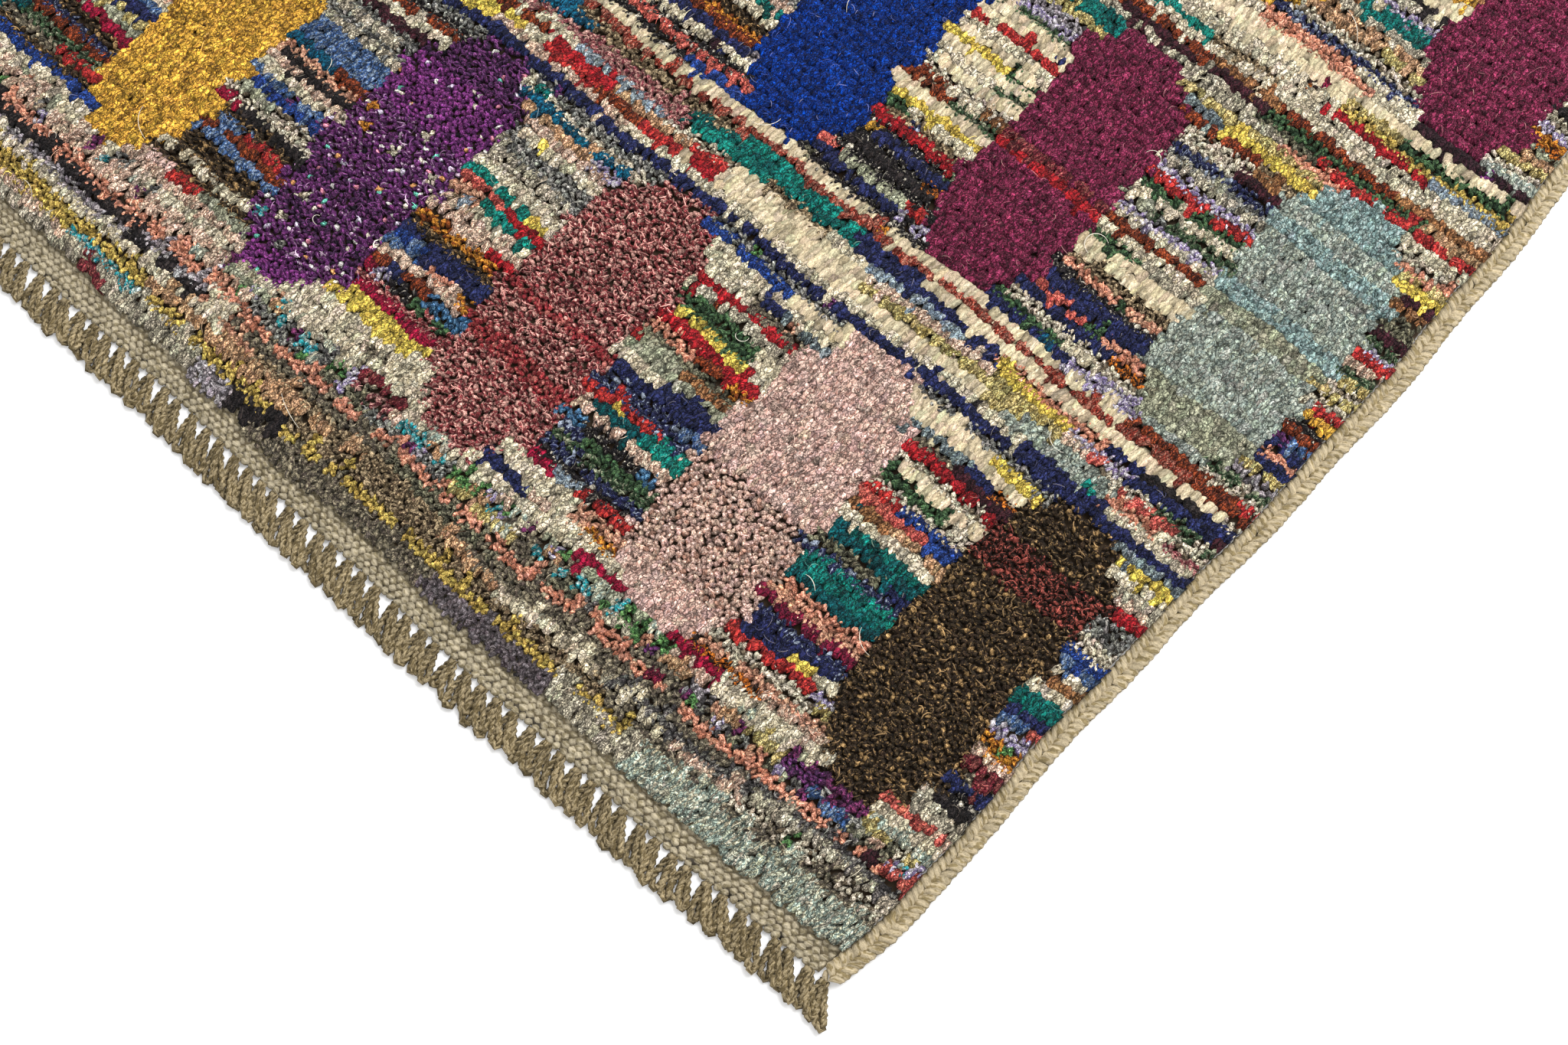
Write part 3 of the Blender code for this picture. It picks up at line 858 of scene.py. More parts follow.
root_v = root_v + noise(0, 1, tiles) * MM * by_curl(ROOT_WANDER_V, curl) + knot_noise[:, 1] * MM * KNOT_WANDER
root_v = root_v + row_drift(root_u, root_v)
print(tiles, "combed ends")

# %% The size and lean of each combed end, in millimetres and degrees
BAR_WIDER = 0.45
BAR_YAW_SHARE = 0.5
BAR_TIP_DROP = 0.9 * MM
KNOT_YAW = 3.0
TWIN_YAW = 6
CURL_YAW_POWER = 1.5
KNOT_LIFT = 0.25
LIFT_LIMITS = (-1.4, 0.6)
LENGTH_VARIES = (0.10, 0.7, 1.3)
WIDTH_VARIES = (0.12, 0.75, 1.3)
mix = curl[:, None]
tile_in_bar = in_bar[tile_row, tile_column]
along = by_curl(END_ALONG, mix)
height = by_curl(END_HEIGHT, mix)
height[:, 3] = height[:, 3] - BAR_TIP_DROP * tile_in_bar
length = by_curl(END_LENGTH, curl) * MM * varied(tiles, *LENGTH_VARIES)
half_width = (by_curl(END_HALF_WIDTH, curl) + BAR_WIDER * tile_in_bar) * MM * varied(tiles, *WIDTH_VARIES)
yaw_spread = by_curl(END_YAW, curl ** CURL_YAW_POWER) * np.where(tile_in_bar, BAR_YAW_SHARE, 1.0)
yaw = noise(0, 1, tiles) * yaw_spread + knot_noise[:, 2] * KNOT_YAW + (twin - 0.5) * TWIN_YAW
yaw = np.radians(yaw)[:, None, None]
lift = noise(0, 1, tiles) * by_curl(END_LIFT, curl) + knot_noise[:, 3] * KNOT_LIFT
lift = np.clip(lift, *LIFT_LIMITS) * MM
print("mean length of a combed end:", round(1000 * float(length.mean()), 1), "mm")

# %% The points of the combed ends
HALF_WIDTHS = np.array([1.35, 1.12, 1.02, 0.88])
SIDE_DROP = np.array([0.3, 0.7, 1.0, 0.9]) * MM
SIDE_BACK = np.array([0.0, 0.0, 0.3, 1.0]) * MM
SIDE_SPREAD = 1.2
SIDE_SPREAD_MOST = 2.4
NEAR_SPREAD = 1.1
LIFT_AT_ROOT = 0.3
across = np.array([-1.0, 0.0, 1.0])
sideways = np.abs(across)[None, None]
a = along * length[:, None]
bend = noise(0, 1, tiles)[:, None] * by_curl(END_BEND, mix) * MM * (along * 2) ** 2
b = across[None, None] * (HALF_WIDTHS * half_width[:, None])[:, :, None] + bend[:, :, None]
a = a[:, :, None] - SIDE_BACK[None, :, None] * sideways
tile_u = root_u[:, None, None] - a * np.sin(yaw) + b * np.cos(yaw)
tile_v = root_v[:, None, None] - a * np.cos(yaw) - b * np.sin(yaw)
tile_z = height[:, :, None] + (lift[:, None] * (along + LIFT_AT_ROOT))[:, :, None]
tile_z = np.minimum(tile_z - SIDE_DROP[None, :, None] * sideways, PILE_TOP)
side_spill = np.minimum(np.abs(noise(0, 1.0, tiles))[:, None, None] * SIDE_SPREAD, SIDE_SPREAD_MOST) * MM
tile_u = np.clip(tile_u, -OUTERMOST - side_spill, OUTERMOST + side_spill)
near_edge = NEAR_LIMIT + wave_sum(BOUNDARY_WAVES, tile_u)
near_edge = near_edge - np.abs(noise(0, NEAR_SPREAD, tiles))[:, None, None] * MM
tile_v = np.maximum(tile_v, near_edge)
tile_z = slope_down(tile_v, tile_z)
tile_points = lay_out(tile_u, tile_v, tile_z)
print("tallest end:", round(1000 * float(tile_z.max()), 2), "mm")

# %% Colours: the yarn, its second ply, how much of it shows, and shade towards the root
TINT_SPREAD = 0.03
TILE_BRIGHTNESS = 0.22
GRAIN_BRIGHTNESS = 0.28
BRIGHTNESS_LIMITS = (0.55, 1.45)
FAR_APART_MM = 900


def yarn_layers(yarn, shade, ply_share, spread):
    """Colour layers for the points of each end; shade has a value for each point."""
    number = len(yarn)
    points_each = shade.shape[-1]
    brightness = varied(number, spread, *BRIGHTNESS_LIMITS)[:, None]
    first = np.ones((number, points_each, 4))
    first[..., :3] = (yarn_colours[yarn] * brightness * (1 + noise(0, TINT_SPREAD, (number, 3))))[:, None]
    first[..., 3] = shade
    second = np.ones((number, points_each, 4))
    second[..., :3] = (ply_colours[yarn] * brightness)[:, None]
    second[..., 3] = ply_share[:, None]
    return first, second


def lie_layer(first, second):
    """Millimetres across and along the yarn at each point, and a number for each end."""
    number = len(first)
    layer = np.zeros((number, first[0].size, 3))
    layer[..., 0] = np.reshape(first, (number, -1))
    layer[..., 1] = np.reshape(second, (number, -1))
    layer[..., 2] = (random_numbers.random(number) * FAR_APART_MM)[:, None]
    return layer


# %% The layers of the combed ends: painted shade at the root, the tip and both edges, painted light along the middle
EDGE_SHADE = np.array([0.44, 1.16, 0.44])
SHADE_BY_CURL = 1.6
tile_shade = by_curl(END_SHADE, np.clip(mix * SHADE_BY_CURL, 0, 1))[:, :, None] * EDGE_SHADE
tile_colours, tile_flecks = yarn_layers(yarn_of, tile_shade.reshape(tiles, -1), ply_shares[yarn_of],
                                        TILE_BRIGHTNESS)
tile_lie = lie_layer(b * 1000, a * 1000)
print("colour layers:", tile_colours.shape)

# %% Standing ends: five grains to a knot, in shares of its column and its row
GRAINS = 5
GRAIN_SPOTS = np.array([(-0.34, -0.26), (0.14, -0.36), (-0.06, 0.08), (0.38, 0.04), (-0.26, 0.40)])
SPOT_WANDER = 0.11
GRAIN_ROW = 0.45
LOWEST_SPOT = -0.4
STRETCH = 0.40
knot_row, knot_column = np.nonzero(stands_up)
grain_row = np.repeat(knot_row, GRAINS)
grain_column = np.repeat(knot_column, GRAINS)
grains = len(grain_row)
grain_yarn = knots[grain_row, grain_column]
grain_curl = curls[grain_yarn]
in_a_bar = in_bar[grain_row, grain_column]
spots = np.tile(GRAIN_SPOTS, (len(knot_row), 1)) + noise(0, SPOT_WANDER, (grains, 2))
spots = spots * np.where((grain_row + grain_column) % 2 == 0, 1, -1)[:, None]
centre_u = RIGHT_SIDE_U - (grain_column + 0.5 + spots[:, 0]) * COLUMN_PITCH
centre_v = -PILE_HALF_LENGTH + (grain_row + GRAIN_ROW + spots[:, 1]) * ROW_PITCH
centre_v = centre_v + row_drift(centre_u, centre_v)
row_above = np.minimum(grain_row + 1, KNOT_ROWS - 1)
row_below = np.maximum(grain_row - 1, 0)
below_combed = ~stands_up[row_above, grain_column]
amid_grains = stands_up[row_above, grain_column] & stands_up[row_below, grain_column]
# below a combed row the grains reach up under its roots, or a dark slit would open there
centre_v = centre_v + STRETCH * ROW_PITCH * below_combed * (spots[:, 1] - LOWEST_SPOT)
print(grains, "standing ends")

# %% Sizes of a grain in millimetres, each as mean and spread, or as least and most
GRAIN_SIDES = 5
GRAIN_HALF_LENGTH = (2.9, 0.4)
HALF_LENGTH_LIMITS = (1.8, 4.4)
LONGER_OUTSIDE_BARS = 0.5
GRAIN_HALF_WIDTH = (2.25, 0.25)
HALF_WIDTH_LIMITS = (1.0, 2.4)
NARROWER_BY_CURL = 0.5
SPRINGIEST_CURL = 0.78
LIE_SPREAD = 0.6
TOP_LEAN = (-0.7, 0.5)
PROUD = 0.8
GRAIN_TOP = (10.3, 0.45)
TOP_LIMITS = (8.8, 11.3)
GRAIN_BASE = 6.9
print("a grain stands", round(GRAIN_TOP[0] - GRAIN_BASE, 1), "mm proud of its foot")

# %% The points of the grains
half_length = noise(*GRAIN_HALF_LENGTH, grains) + LONGER_OUTSIDE_BARS * ~in_a_bar
half_length = np.clip(half_length, *HALF_LENGTH_LIMITS) * MM
grain_half = noise(*GRAIN_HALF_WIDTH, grains) - NARROWER_BY_CURL * grain_curl
grain_half = np.clip(grain_half, *HALF_WIDTH_LIMITS) * MM
any_way = random_numbers.uniform(0, np.pi, grains)
along_rug = noise(np.pi / 2, LIE_SPREAD, grains)
turned = np.where(grain_curl > SPRINGIEST_CURL, any_way, along_rug)[:, None]
ring = 2 * np.pi * np.arange(GRAIN_SIDES) / GRAIN_SIDES
ring_a = half_length[:, None] * np.cos(ring)
ring_b = grain_half[:, None] * np.sin(ring)
top_u = noise(0, TOP_LEAN[1], (grains, 1)) * MM
top_v = noise(*TOP_LEAN, (grains, 1)) * MM
ring_u = ring_a * np.cos(turned) - ring_b * np.sin(turned)
ring_v = ring_a * np.sin(turned) + ring_b * np.cos(turned)
grain_u = centre_u[:, None] + np.concatenate((ring_u, top_u), axis=1)
grain_v = centre_v[:, None] + np.concatenate((ring_v, top_v), axis=1)
# between combed rows the standing ones are a little prouder, or they would drown
proud = np.where(in_a_bar & amid_grains, 0.0, PROUD)
grain_top = np.clip(noise(*GRAIN_TOP, grains) + proud, *TOP_LIMITS) * MM
grain_base = np.repeat((GRAIN_BASE + proud[:, None]) * MM, GRAIN_SIDES, axis=1)
grain_z = np.concatenate((grain_base, grain_top[:, None]), axis=1)
grain_z = slope_down(grain_v, grain_z)
grain_points = lay_out(np.clip(grain_u, -OUTERMOST, OUTERMOST), grain_v, grain_z)
print("mean grain:", round(2000 * float(half_length.mean()), 1), "x",
      round(2000 * float(grain_half.mean()), 1), "mm at its foot")

# %% The layers of the grains, with painted shade round their feet and painted light on their tops, and lint of other colours caught in the purple bars
GRAIN_SHADE = np.array([0.32] * GRAIN_SIDES + [1.55])
PLY_IN_GRAINS = 0.9
WHOLE_FLECKS = 0.30
PURPLES = ("purple", "bright purple", "specked purple")
LINT = ("FFFAF2", "FFFAF2", "FFF2DC", "F4B070", "74D0B8", "F49AB0", "E8DCF0", "1C1420")
LINT_SHARE = 0.075
LINT_BRIGHT = 1.3
LINT_DIM = 0.6
whole_fleck = random_numbers.random(grains) < WHOLE_FLECKS * ply_shares[grain_yarn]
grain_colours, grain_flecks = yarn_layers(grain_yarn, GRAIN_SHADE, PLY_IN_GRAINS * ply_shares[grain_yarn],
                                          GRAIN_BRIGHTNESS)
grain_colours[whole_fleck, :, :3] = grain_flecks[whole_fleck, :, :3]
purple_numbers = [yarn_names.index(name) for name in PURPLES]
linted = np.isin(grain_yarn, purple_numbers) & (random_numbers.random(grains) < LINT_SHARE)
lint = np.array([linear(colour) for colour in LINT])[random_numbers.integers(0, len(LINT), grains)]
grain_colours[linted, :, :3] = lint[linted][:, None] * LINT_BRIGHT
grain_flecks[linted, :, :3] = lint[linted][:, None] * LINT_DIM
at_top = np.zeros((grains, 1))
grain_lie = lie_layer(np.concatenate((ring_a, at_top), axis=1) * 1000,
                      np.concatenate((ring_b, at_top), axis=1) * 1000)
print("grains with lint:", int(linted.sum()))

# %% [markdown]
# ## Wool and other yarn for the pile
# Leftover yarn is mostly wool with some cotton and synthetics. It is matt, with a faint
# sheen from the fibres that stand off it, and each end shows plies and curled fibres.
# Fibres follow the yarn as wavy lines. A noise texture has such lines where it passes
# through its middle value, so the material paints light on them as lit fibres, paints
# shade on what lies between them, and picks some plies in the second colour. Real fibres
# are a twentieth of a millimetre thick; here they are drawn as bundles of a third.
#
# A cut end is also a small sheaf of curls with gaps between them, where shade falls. A
# Voronoi texture of distances to cell borders paints that shade into the gaps: its cells
# are two to three millimetres wide and three to six long, and noise moves their borders
# about, because straight ones would look like cracks in mud.

# %% Bundles of fibres, as wavy lines
FIBRE_CENTRE = 0.5
FIBRE_DISTORTION = 0.4


def fibre_lines(tree, place, scale, reach):
    """Light wavy lines, 1 on the line and 0 from reach on, at this many to a millimetre."""
    scaled = add_node(tree, "ShaderNodeVectorMath", [(place, 0), (scale, 1)], operation="MULTIPLY")
    field = add_node(tree, "ShaderNodeTexNoise", [(scaled.outputs[0], "Vector")],
                     Scale=1.0, Detail=1.0, Distortion=FIBRE_DISTORTION)
    middle = add_node(tree, "ShaderNodeMath", [(field.outputs["Fac"], 0), (FIBRE_CENTRE, 1)],
                      operation="SUBTRACT")
    away = add_node(tree, "ShaderNodeMath", [(middle.outputs[0], 0)], operation="ABSOLUTE")
    lines = add_node(tree, "ShaderNodeMapRange", [(away.outputs[0], "Value")],
                     From_Min=0.0, From_Max=reach, To_Min=1.0, To_Max=0.0)
    return lines.outputs[0]


# %% Plies: noise picks those that show the second colour
PLY_EDGES = (0.66, 0.74)


def ply_colour(tree, place, scale, first, second, share):
    """The first colour, with this share of plies in the second."""
    scaled = add_node(tree, "ShaderNodeVectorMath", [(place, 0), (scale, 1)], operation="MULTIPLY")
    plies = add_node(tree, "ShaderNodeTexNoise", [(scaled.outputs[0], "Vector")], Scale=1.0, Detail=1.0)
    half = add_node(tree, "ShaderNodeMath", [(share, 0), (0.5, 1)], operation="MULTIPLY")
    ply_sum = add_node(tree, "ShaderNodeMath", [(plies.outputs["Fac"], 0), (half.outputs[0], 1)],
                       operation="ADD")
    ply_mask = add_node(tree, "ShaderNodeMapRange", [(ply_sum.outputs[0], "Value")],
                        From_Min=PLY_EDGES[0], From_Max=PLY_EDGES[1], To_Min=0.0, To_Max=1.0)
    colour = add_node(tree, "ShaderNodeMix", [(ply_mask.outputs[0], 0), (first, 6), (second, 7)],
                      data_type="RGBA")
    return colour.outputs[2]


# %% Curls: Voronoi cells with painted shade along their borders, which noise moves about
WOBBLE_PER_MM = 0.5
WOBBLE_MM = 3.4


def curl_gaps(tree, place, curls_size, edge, outline):
    """1 inside a curl, and painted shade at its border: outline says how deep, edge how wide."""
    wobble = add_node(tree, "ShaderNodeTexNoise", [(place, "Vector")], Scale=WOBBLE_PER_MM, Detail=0.0)
    wobble_size = (WOBBLE_MM, WOBBLE_MM, 0.0)
    wavy = add_node(tree, "ShaderNodeVectorMath",
                    [(wobble.outputs["Color"], 0), (wobble_size, 1), (place, 2)],
                    operation="MULTIPLY_ADD")
    curls = add_node(tree, "ShaderNodeVectorMath", [(wavy.outputs[0], 0), ((*curls_size, 1.0), 1)],
                     operation="MULTIPLY")
    worms = add_node(tree, "ShaderNodeTexVoronoi", [(curls.outputs[0], "Vector")],
                     feature="DISTANCE_TO_EDGE", Scale=1.0)
    gaps = add_node(tree, "ShaderNodeMapRange", [(worms.outputs["Distance"], "Value")],
                    From_Min=0.1 * edge, From_Max=edge, To_Min=1.0 - outline, To_Max=1.0)
    return gaps.outputs[0]


# %% The material of all yarn: wool takes light softly, so it is rough and hardly shines
YARN_ROUGHNESS = 0.88
YARN_SPECULAR = 0.06
COARSE_REACH = 0.10
FINE_REACH = 0.12
FINE_SCALE = 2.1
FINE_STEP = 1.7
FIBRE_LIFT = 0.8


def yarn_material(name, two_colours=None, share=0.3, across=0.75, along=0.22, contrast=0.42,
                  bump_depth=0.5, sheen=0.04, outline=0.0, gain=1.0, curls_size=(0.48, 0.30), edge=0.20):
    """Matt yarn with its fibres. Colours come from the mesh unless two are given."""
    material = bpy.data.materials.new(name)
    material.use_nodes = True
    tree = material.node_tree
    shader = tree.nodes["Principled BSDF"]
    shader.inputs["Roughness"].default_value = YARN_ROUGHNESS
    shader.inputs["Specular IOR Level"].default_value = YARN_SPECULAR
    shader.inputs["Sheen Weight"].default_value = sheen
    shader.inputs["Sheen Roughness"].default_value = 0.5
    place = add_node(tree, "ShaderNodeAttribute", attribute_name="lie").outputs["Vector"]
    yarn = add_node(tree, "ShaderNodeAttribute", attribute_name="yarn")
    fleck = add_node(tree, "ShaderNodeAttribute", attribute_name="fleck")
    if two_colours is None:
        first, second, share = yarn.outputs["Color"], fleck.outputs["Color"], fleck.outputs["Alpha"]
    else:
        first, second = [(*linear(hex_colour), 1.0) for hex_colour in two_colours]
    colour = ply_colour(tree, place, (across, along, 1.0), first, second, share)
    # painted light on the fibres, over painted shade between them
    coarse = fibre_lines(tree, place, (across, along, 1.0), COARSE_REACH)
    fine = fibre_lines(tree, place, (across * FINE_SCALE, along * FINE_SCALE, FINE_STEP), FINE_REACH)
    fibres = add_node(tree, "ShaderNodeMath", [(coarse, 0), (fine, 1)], operation="MAXIMUM")
    light = add_node(tree, "ShaderNodeMapRange", [(fibres.outputs[0], "Value")],
                     From_Min=0.0, From_Max=1.0, To_Min=gain * (1.0 - contrast),
                     To_Max=gain * (1.0 + FIBRE_LIFT * contrast))
    # painted shade in the gaps round the curls, and the painted shade of each point
    gaps = curl_gaps(tree, place, curls_size, edge, outline)
    outlined = add_node(tree, "ShaderNodeMath", [(light.outputs[0], 0), (gaps, 1)], operation="MULTIPLY")
    shaded = add_node(tree, "ShaderNodeMath", [(outlined.outputs[0], 0), (yarn.outputs["Alpha"], 1)],
                      operation="MULTIPLY")
    lit = add_node(tree, "ShaderNodeVectorMath", [(colour, 0), (shaded.outputs[0], "Scale")],
                   operation="SCALE")
    tree.links.new(lit.outputs[0], shader.inputs["Base Color"])
    bump = add_node(tree, "ShaderNodeBump", [(outlined.outputs[0], "Height")], Strength=1.0,
                    Distance=bump_depth * MM)
    tree.links.new(bump.outputs[0], shader.inputs["Normal"])
    return material


# %% Four finishes of the same yarn; curls_size is in curls to a millimetre, across and along
# they differ in how much shade is painted into the gaps, and each gain brightens the whole finish to make up
# for its painted shade
# brushed: the fibres lie so flat that they close over the gaps, so little shade is painted there
brushed_yarn = yarn_material("leftover wool yarn, brushed flat", contrast=0.28, outline=0.30, gain=1.12,
                             curls_size=(0.36, 0.16), edge=0.13)
# combed: long curls side by side, with deep painted shade in the gaps between them
combed_yarn = yarn_material("leftover wool yarn, combed and smooth", contrast=0.44, outline=0.86,
                            gain=1.84, curls_size=(0.36, 0.22), edge=0.145, bump_depth=0.7)
# springy: shorter and narrower curls, which don't quite lie down
springy_yarn = yarn_material("leftover wool yarn, combed but springy", contrast=0.6, outline=0.88,
                             gain=2.10, bump_depth=0.7)
# standing: the tops of curls, as speckled as the ply is
standing_yarn = yarn_material("leftover wool yarn, standing ends", across=0.5, along=0.9, contrast=0.64,
                              outline=0.70, gain=1.98, bump_depth=0.7)
print("materials:", len(bpy.data.materials))

# %% The pile: combed ends in lengths from side to side, then standing ends
TILE_STRIPS = 2
GRAIN_STRIPS = 2
BRUSHED_CURL = 0.05
SPRINGY_CURL = 0.32
KINDS = (("brushed", 0.0, BRUSHED_CURL, brushed_yarn),
         ("smooth", BRUSHED_CURL, SPRINGY_CURL, combed_yarn),
         ("springy", SPRINGY_CURL, 1.0, springy_yarn))
pile_pieces = []
tile_shape = (len(HALF_WIDTHS), len(across))
tile_strip = tile_row * TILE_STRIPS // KNOT_ROWS
for kind, lowest, highest, material in KINDS:
    for strip in range(TILE_STRIPS):
        part = (curl >= lowest) & (curl < highest) & (tile_strip == strip)
        mesh = mesh_of_copies(f"{kind}_pile_{strip + 1}", tile_points[part], grid_template(*tile_shape),
                              tile_colours[part], tile_flecks[part], tile_lie[part])
        pile_pieces.append(add_piece(mesh.name, mesh, material,
                                     [] if pile_pieces else ["pile_and_weave"]))
grain_strip = grain_row * GRAIN_STRIPS // KNOT_ROWS
for strip in range(GRAIN_STRIPS):
    part = grain_strip == strip
    mesh = mesh_of_copies(f"standing_pile_{strip + 1}", grain_points[part], fan_template(GRAIN_SIDES),
                          grain_colours[part], grain_flecks[part], grain_lie[part])
    pile_pieces.append(add_piece(mesh.name, mesh, standing_yarn))

# %% [markdown]
# ## Loose fibres
# A pile of leftovers sheds: fibres spring out of the cut ends, lie curled on top and
# catch the light. Each is a narrow ribbon of a few steps, because a ribbon that lies flat
# shows as much as a round thread and has a quarter of its faces. Some lie over with the
# combed ends, shorter ones stick out of the standing ends in every direction, and a few
# long pale strands that were never clipped lie across the stripes.

# %% Curled ribbons
TIP_WIDTH = 0.45
TIP_LENGTH = 0.08
RIBBON_LIE_MM = 0.3


def curled_ribbons(steps, u, v, z, heading, turn, length, half_width, arch):
    """Ribbons that lie flat on the pile: u, v and z of [ribbon, step, side] on the plan."""
    t = np.linspace(0.0, 1.0, steps + 1)
    angle = heading[:, None] + turn[:, None] * (t - 0.5)
    step = length[:, None] / steps
    run_u = np.cumsum(np.cos(angle) * step, axis=1)
    run_v = np.cumsum(np.sin(angle) * step, axis=1)
    ribbon_u = (u[:, None] + run_u - run_u.mean(axis=1, keepdims=True))[:, :, None]
    ribbon_v = (v[:, None] + run_v - run_v.mean(axis=1, keepdims=True))[:, :, None]
    ribbon_z = (z + arch[:, None] * (1 - (2 * t - 1) ** 2))[:, :, None]
    taper = TIP_WIDTH + (1 - TIP_WIDTH) * np.sin(np.pi * np.clip(t, TIP_LENGTH, 1 - TIP_LENGTH))
    side = np.array([-1.0, 1.0]) * half_width[:, None, None] * taper[None, :, None]
    ribbon_u = np.clip(ribbon_u - np.sin(angle)[:, :, None] * side, -OUTERMOST, OUTERMOST)
    ribbon_v = ribbon_v + np.cos(angle)[:, :, None] * side
    ribbon_v = np.clip(ribbon_v, NEAR_LIMIT, PILE_HALF_LENGTH + PILE_SPILL)
    return ribbon_u, ribbon_v, np.broadcast_to(ribbon_z, ribbon_u.shape)


# %% From ribbons to a piece, each in one colour
# the finish of single fibres: nearly plain, with more sheen, because light glances off them
loose_fibre = yarn_material("loose wool fibre", bump_depth=0.1, sheen=0.4, contrast=0.2)


def ribbon_piece(name, ribbon, colours, length):
    """One piece of many ribbons; each has one colour, and none of a second ply."""
    number, rings = ribbon[0].shape[:2]
    first = np.ones((number, rings * 2, 4))
    first[..., :3] = colours[:, None]
    second = first.copy()
    second[..., 3] = 0.0
    side = np.tile([-RIBBON_LIE_MM, RIBBON_LIE_MM], rings)
    run = np.repeat(np.linspace(0, 1, rings), 2)[None] * length[:, None] * 1000
    lie = lie_layer(np.broadcast_to(side, run.shape), run)
    mesh = mesh_of_copies(name, lay_out(*ribbon), grid_template(rings, 2), first, second, lie)
    return add_piece(name, mesh, loose_fibre)


# %% Fibres on the combed ends: they lie over towards the near fringe, more or less
FIBRES = 3800
FIBRE_STEPS = 4
FIBRE_HEIGHT = 9.6 * MM
FIBRE_LEAD = 6.0 * MM
FIBRE_LENGTH = (6.0, 1.8)
FIBRE_LENGTH_LIMITS = (3, 12)
FIBRE_TURN = 2.0
HEADING = -90
HEADING_SPREAD = 45
HALF_WIDTH_RANGE = (0.13, 0.22)
ARCH_RANGE = (1.2, 1.9)
PALE = np.array(linear("DCCDB2"))
PALE_MOST = 0.30
picked = random_numbers.choice(tiles, FIBRES, replace=False)
fibre_length = np.clip(noise(*FIBRE_LENGTH, FIBRES), *FIBRE_LENGTH_LIMITS) * MM
heading = np.radians(HEADING + noise(0, HEADING_SPREAD, FIBRES))
turn = noise(0, FIBRE_TURN, FIBRES)
ribbon_half = random_numbers.uniform(*HALF_WIDTH_RANGE, FIBRES) * MM
arch = random_numbers.uniform(*ARCH_RANGE, FIBRES) * MM
ribbon = curled_ribbons(FIBRE_STEPS, root_u[picked], root_v[picked] - FIBRE_LEAD, FIBRE_HEIGHT,
                        heading, turn, fibre_length, ribbon_half, arch)
paler = random_numbers.uniform(0.0, PALE_MOST, FIBRES)[:, None]
fibre_colour = tile_colours[picked, 0, :3] * (1 - paler) + PALE * paler
loose_fibres = ribbon_piece("loose_fibres", ribbon, fibre_colour, fibre_length)

# %% Fibres on the standing ends: shorter, in every direction, many of the second ply
GRAIN_FIBRES = 3600
GRAIN_FIBRE_STEPS = 3
GRAIN_FIBRE_HEIGHT = 9.3 * MM
GRAIN_FIBRE_LENGTH = (4.6, 1.4)
GRAIN_FIBRE_LIMITS = (2.5, 9)
GRAIN_FIBRE_TURN = 1.6
GRAIN_FIBRE_HALF = (0.20, 0.36)
SPRINGIEST_MORE = 3.0
PLY_MIX_RANGE = (0.2, 0.9)
PLY_MIX_GAIN = 2.6
FIBRE_BRIGHT = 1.15
chance = np.where(grain_curl > SPRINGIEST_CURL, SPRINGIEST_MORE, 1.0)
picked = random_numbers.choice(grains, GRAIN_FIBRES, replace=False, p=chance / chance.sum())
fibre_length = np.clip(noise(*GRAIN_FIBRE_LENGTH, GRAIN_FIBRES), *GRAIN_FIBRE_LIMITS) * MM
heading = random_numbers.uniform(0, 2 * np.pi, GRAIN_FIBRES)
turn = noise(0, GRAIN_FIBRE_TURN, GRAIN_FIBRES)
ribbon_half = random_numbers.uniform(*GRAIN_FIBRE_HALF, GRAIN_FIBRES) * MM
arch = random_numbers.uniform(*ARCH_RANGE, GRAIN_FIBRES) * MM
ribbon = curled_ribbons(GRAIN_FIBRE_STEPS, centre_u[picked], centre_v[picked], GRAIN_FIBRE_HEIGHT,
                        heading, turn, fibre_length, ribbon_half, arch)
mixed = random_numbers.uniform(*PLY_MIX_RANGE, GRAIN_FIBRES)
mixed = (mixed * np.clip(PLY_MIX_GAIN * ply_shares[grain_yarn[picked]], 0.0, 1.0))[:, None]
fibre_colour = grain_colours[picked, 0, :3] * (1 - mixed) + grain_flecks[picked, 0, :3] * mixed
grain_fibres = ribbon_piece("grain_fibres", ribbon, fibre_colour * FIBRE_BRIGHT, fibre_length)

# %% Long pale strands
STRANDS = 45
STRAND_STEPS = 12
STRAND_LENGTHS = (9, 28)
STRAND_REACH_U = 0.42
STRAND_REACH_V = 0.72
STRAND_TURN = 2.2
STRAND_HALF = (0.14, 0.22)
STRAND_ARCH = 2.0 * MM
STRAND_HEADING_MOST = 6.3
strand_length = random_numbers.uniform(*STRAND_LENGTHS, STRANDS) * MM
strand_u = random_numbers.uniform(-STRAND_REACH_U, STRAND_REACH_U, STRANDS)
strand_v = random_numbers.uniform(-STRAND_REACH_V, STRAND_REACH_V, STRANDS)
heading = random_numbers.uniform(0, STRAND_HEADING_MOST, STRANDS)
turn = noise(0, STRAND_TURN, STRANDS)
ribbon_half = random_numbers.uniform(*STRAND_HALF, STRANDS) * MM
ribbon = curled_ribbons(STRAND_STEPS, strand_u, strand_v, FIBRE_HEIGHT, heading, turn, strand_length,
                        ribbon_half, np.full(STRANDS, STRAND_ARCH))
strand_colour = np.broadcast_to(linear("E4DCCB"), (STRANDS, 3))
long_strands = ribbon_piece("long_strands", ribbon, strand_colour, strand_length)
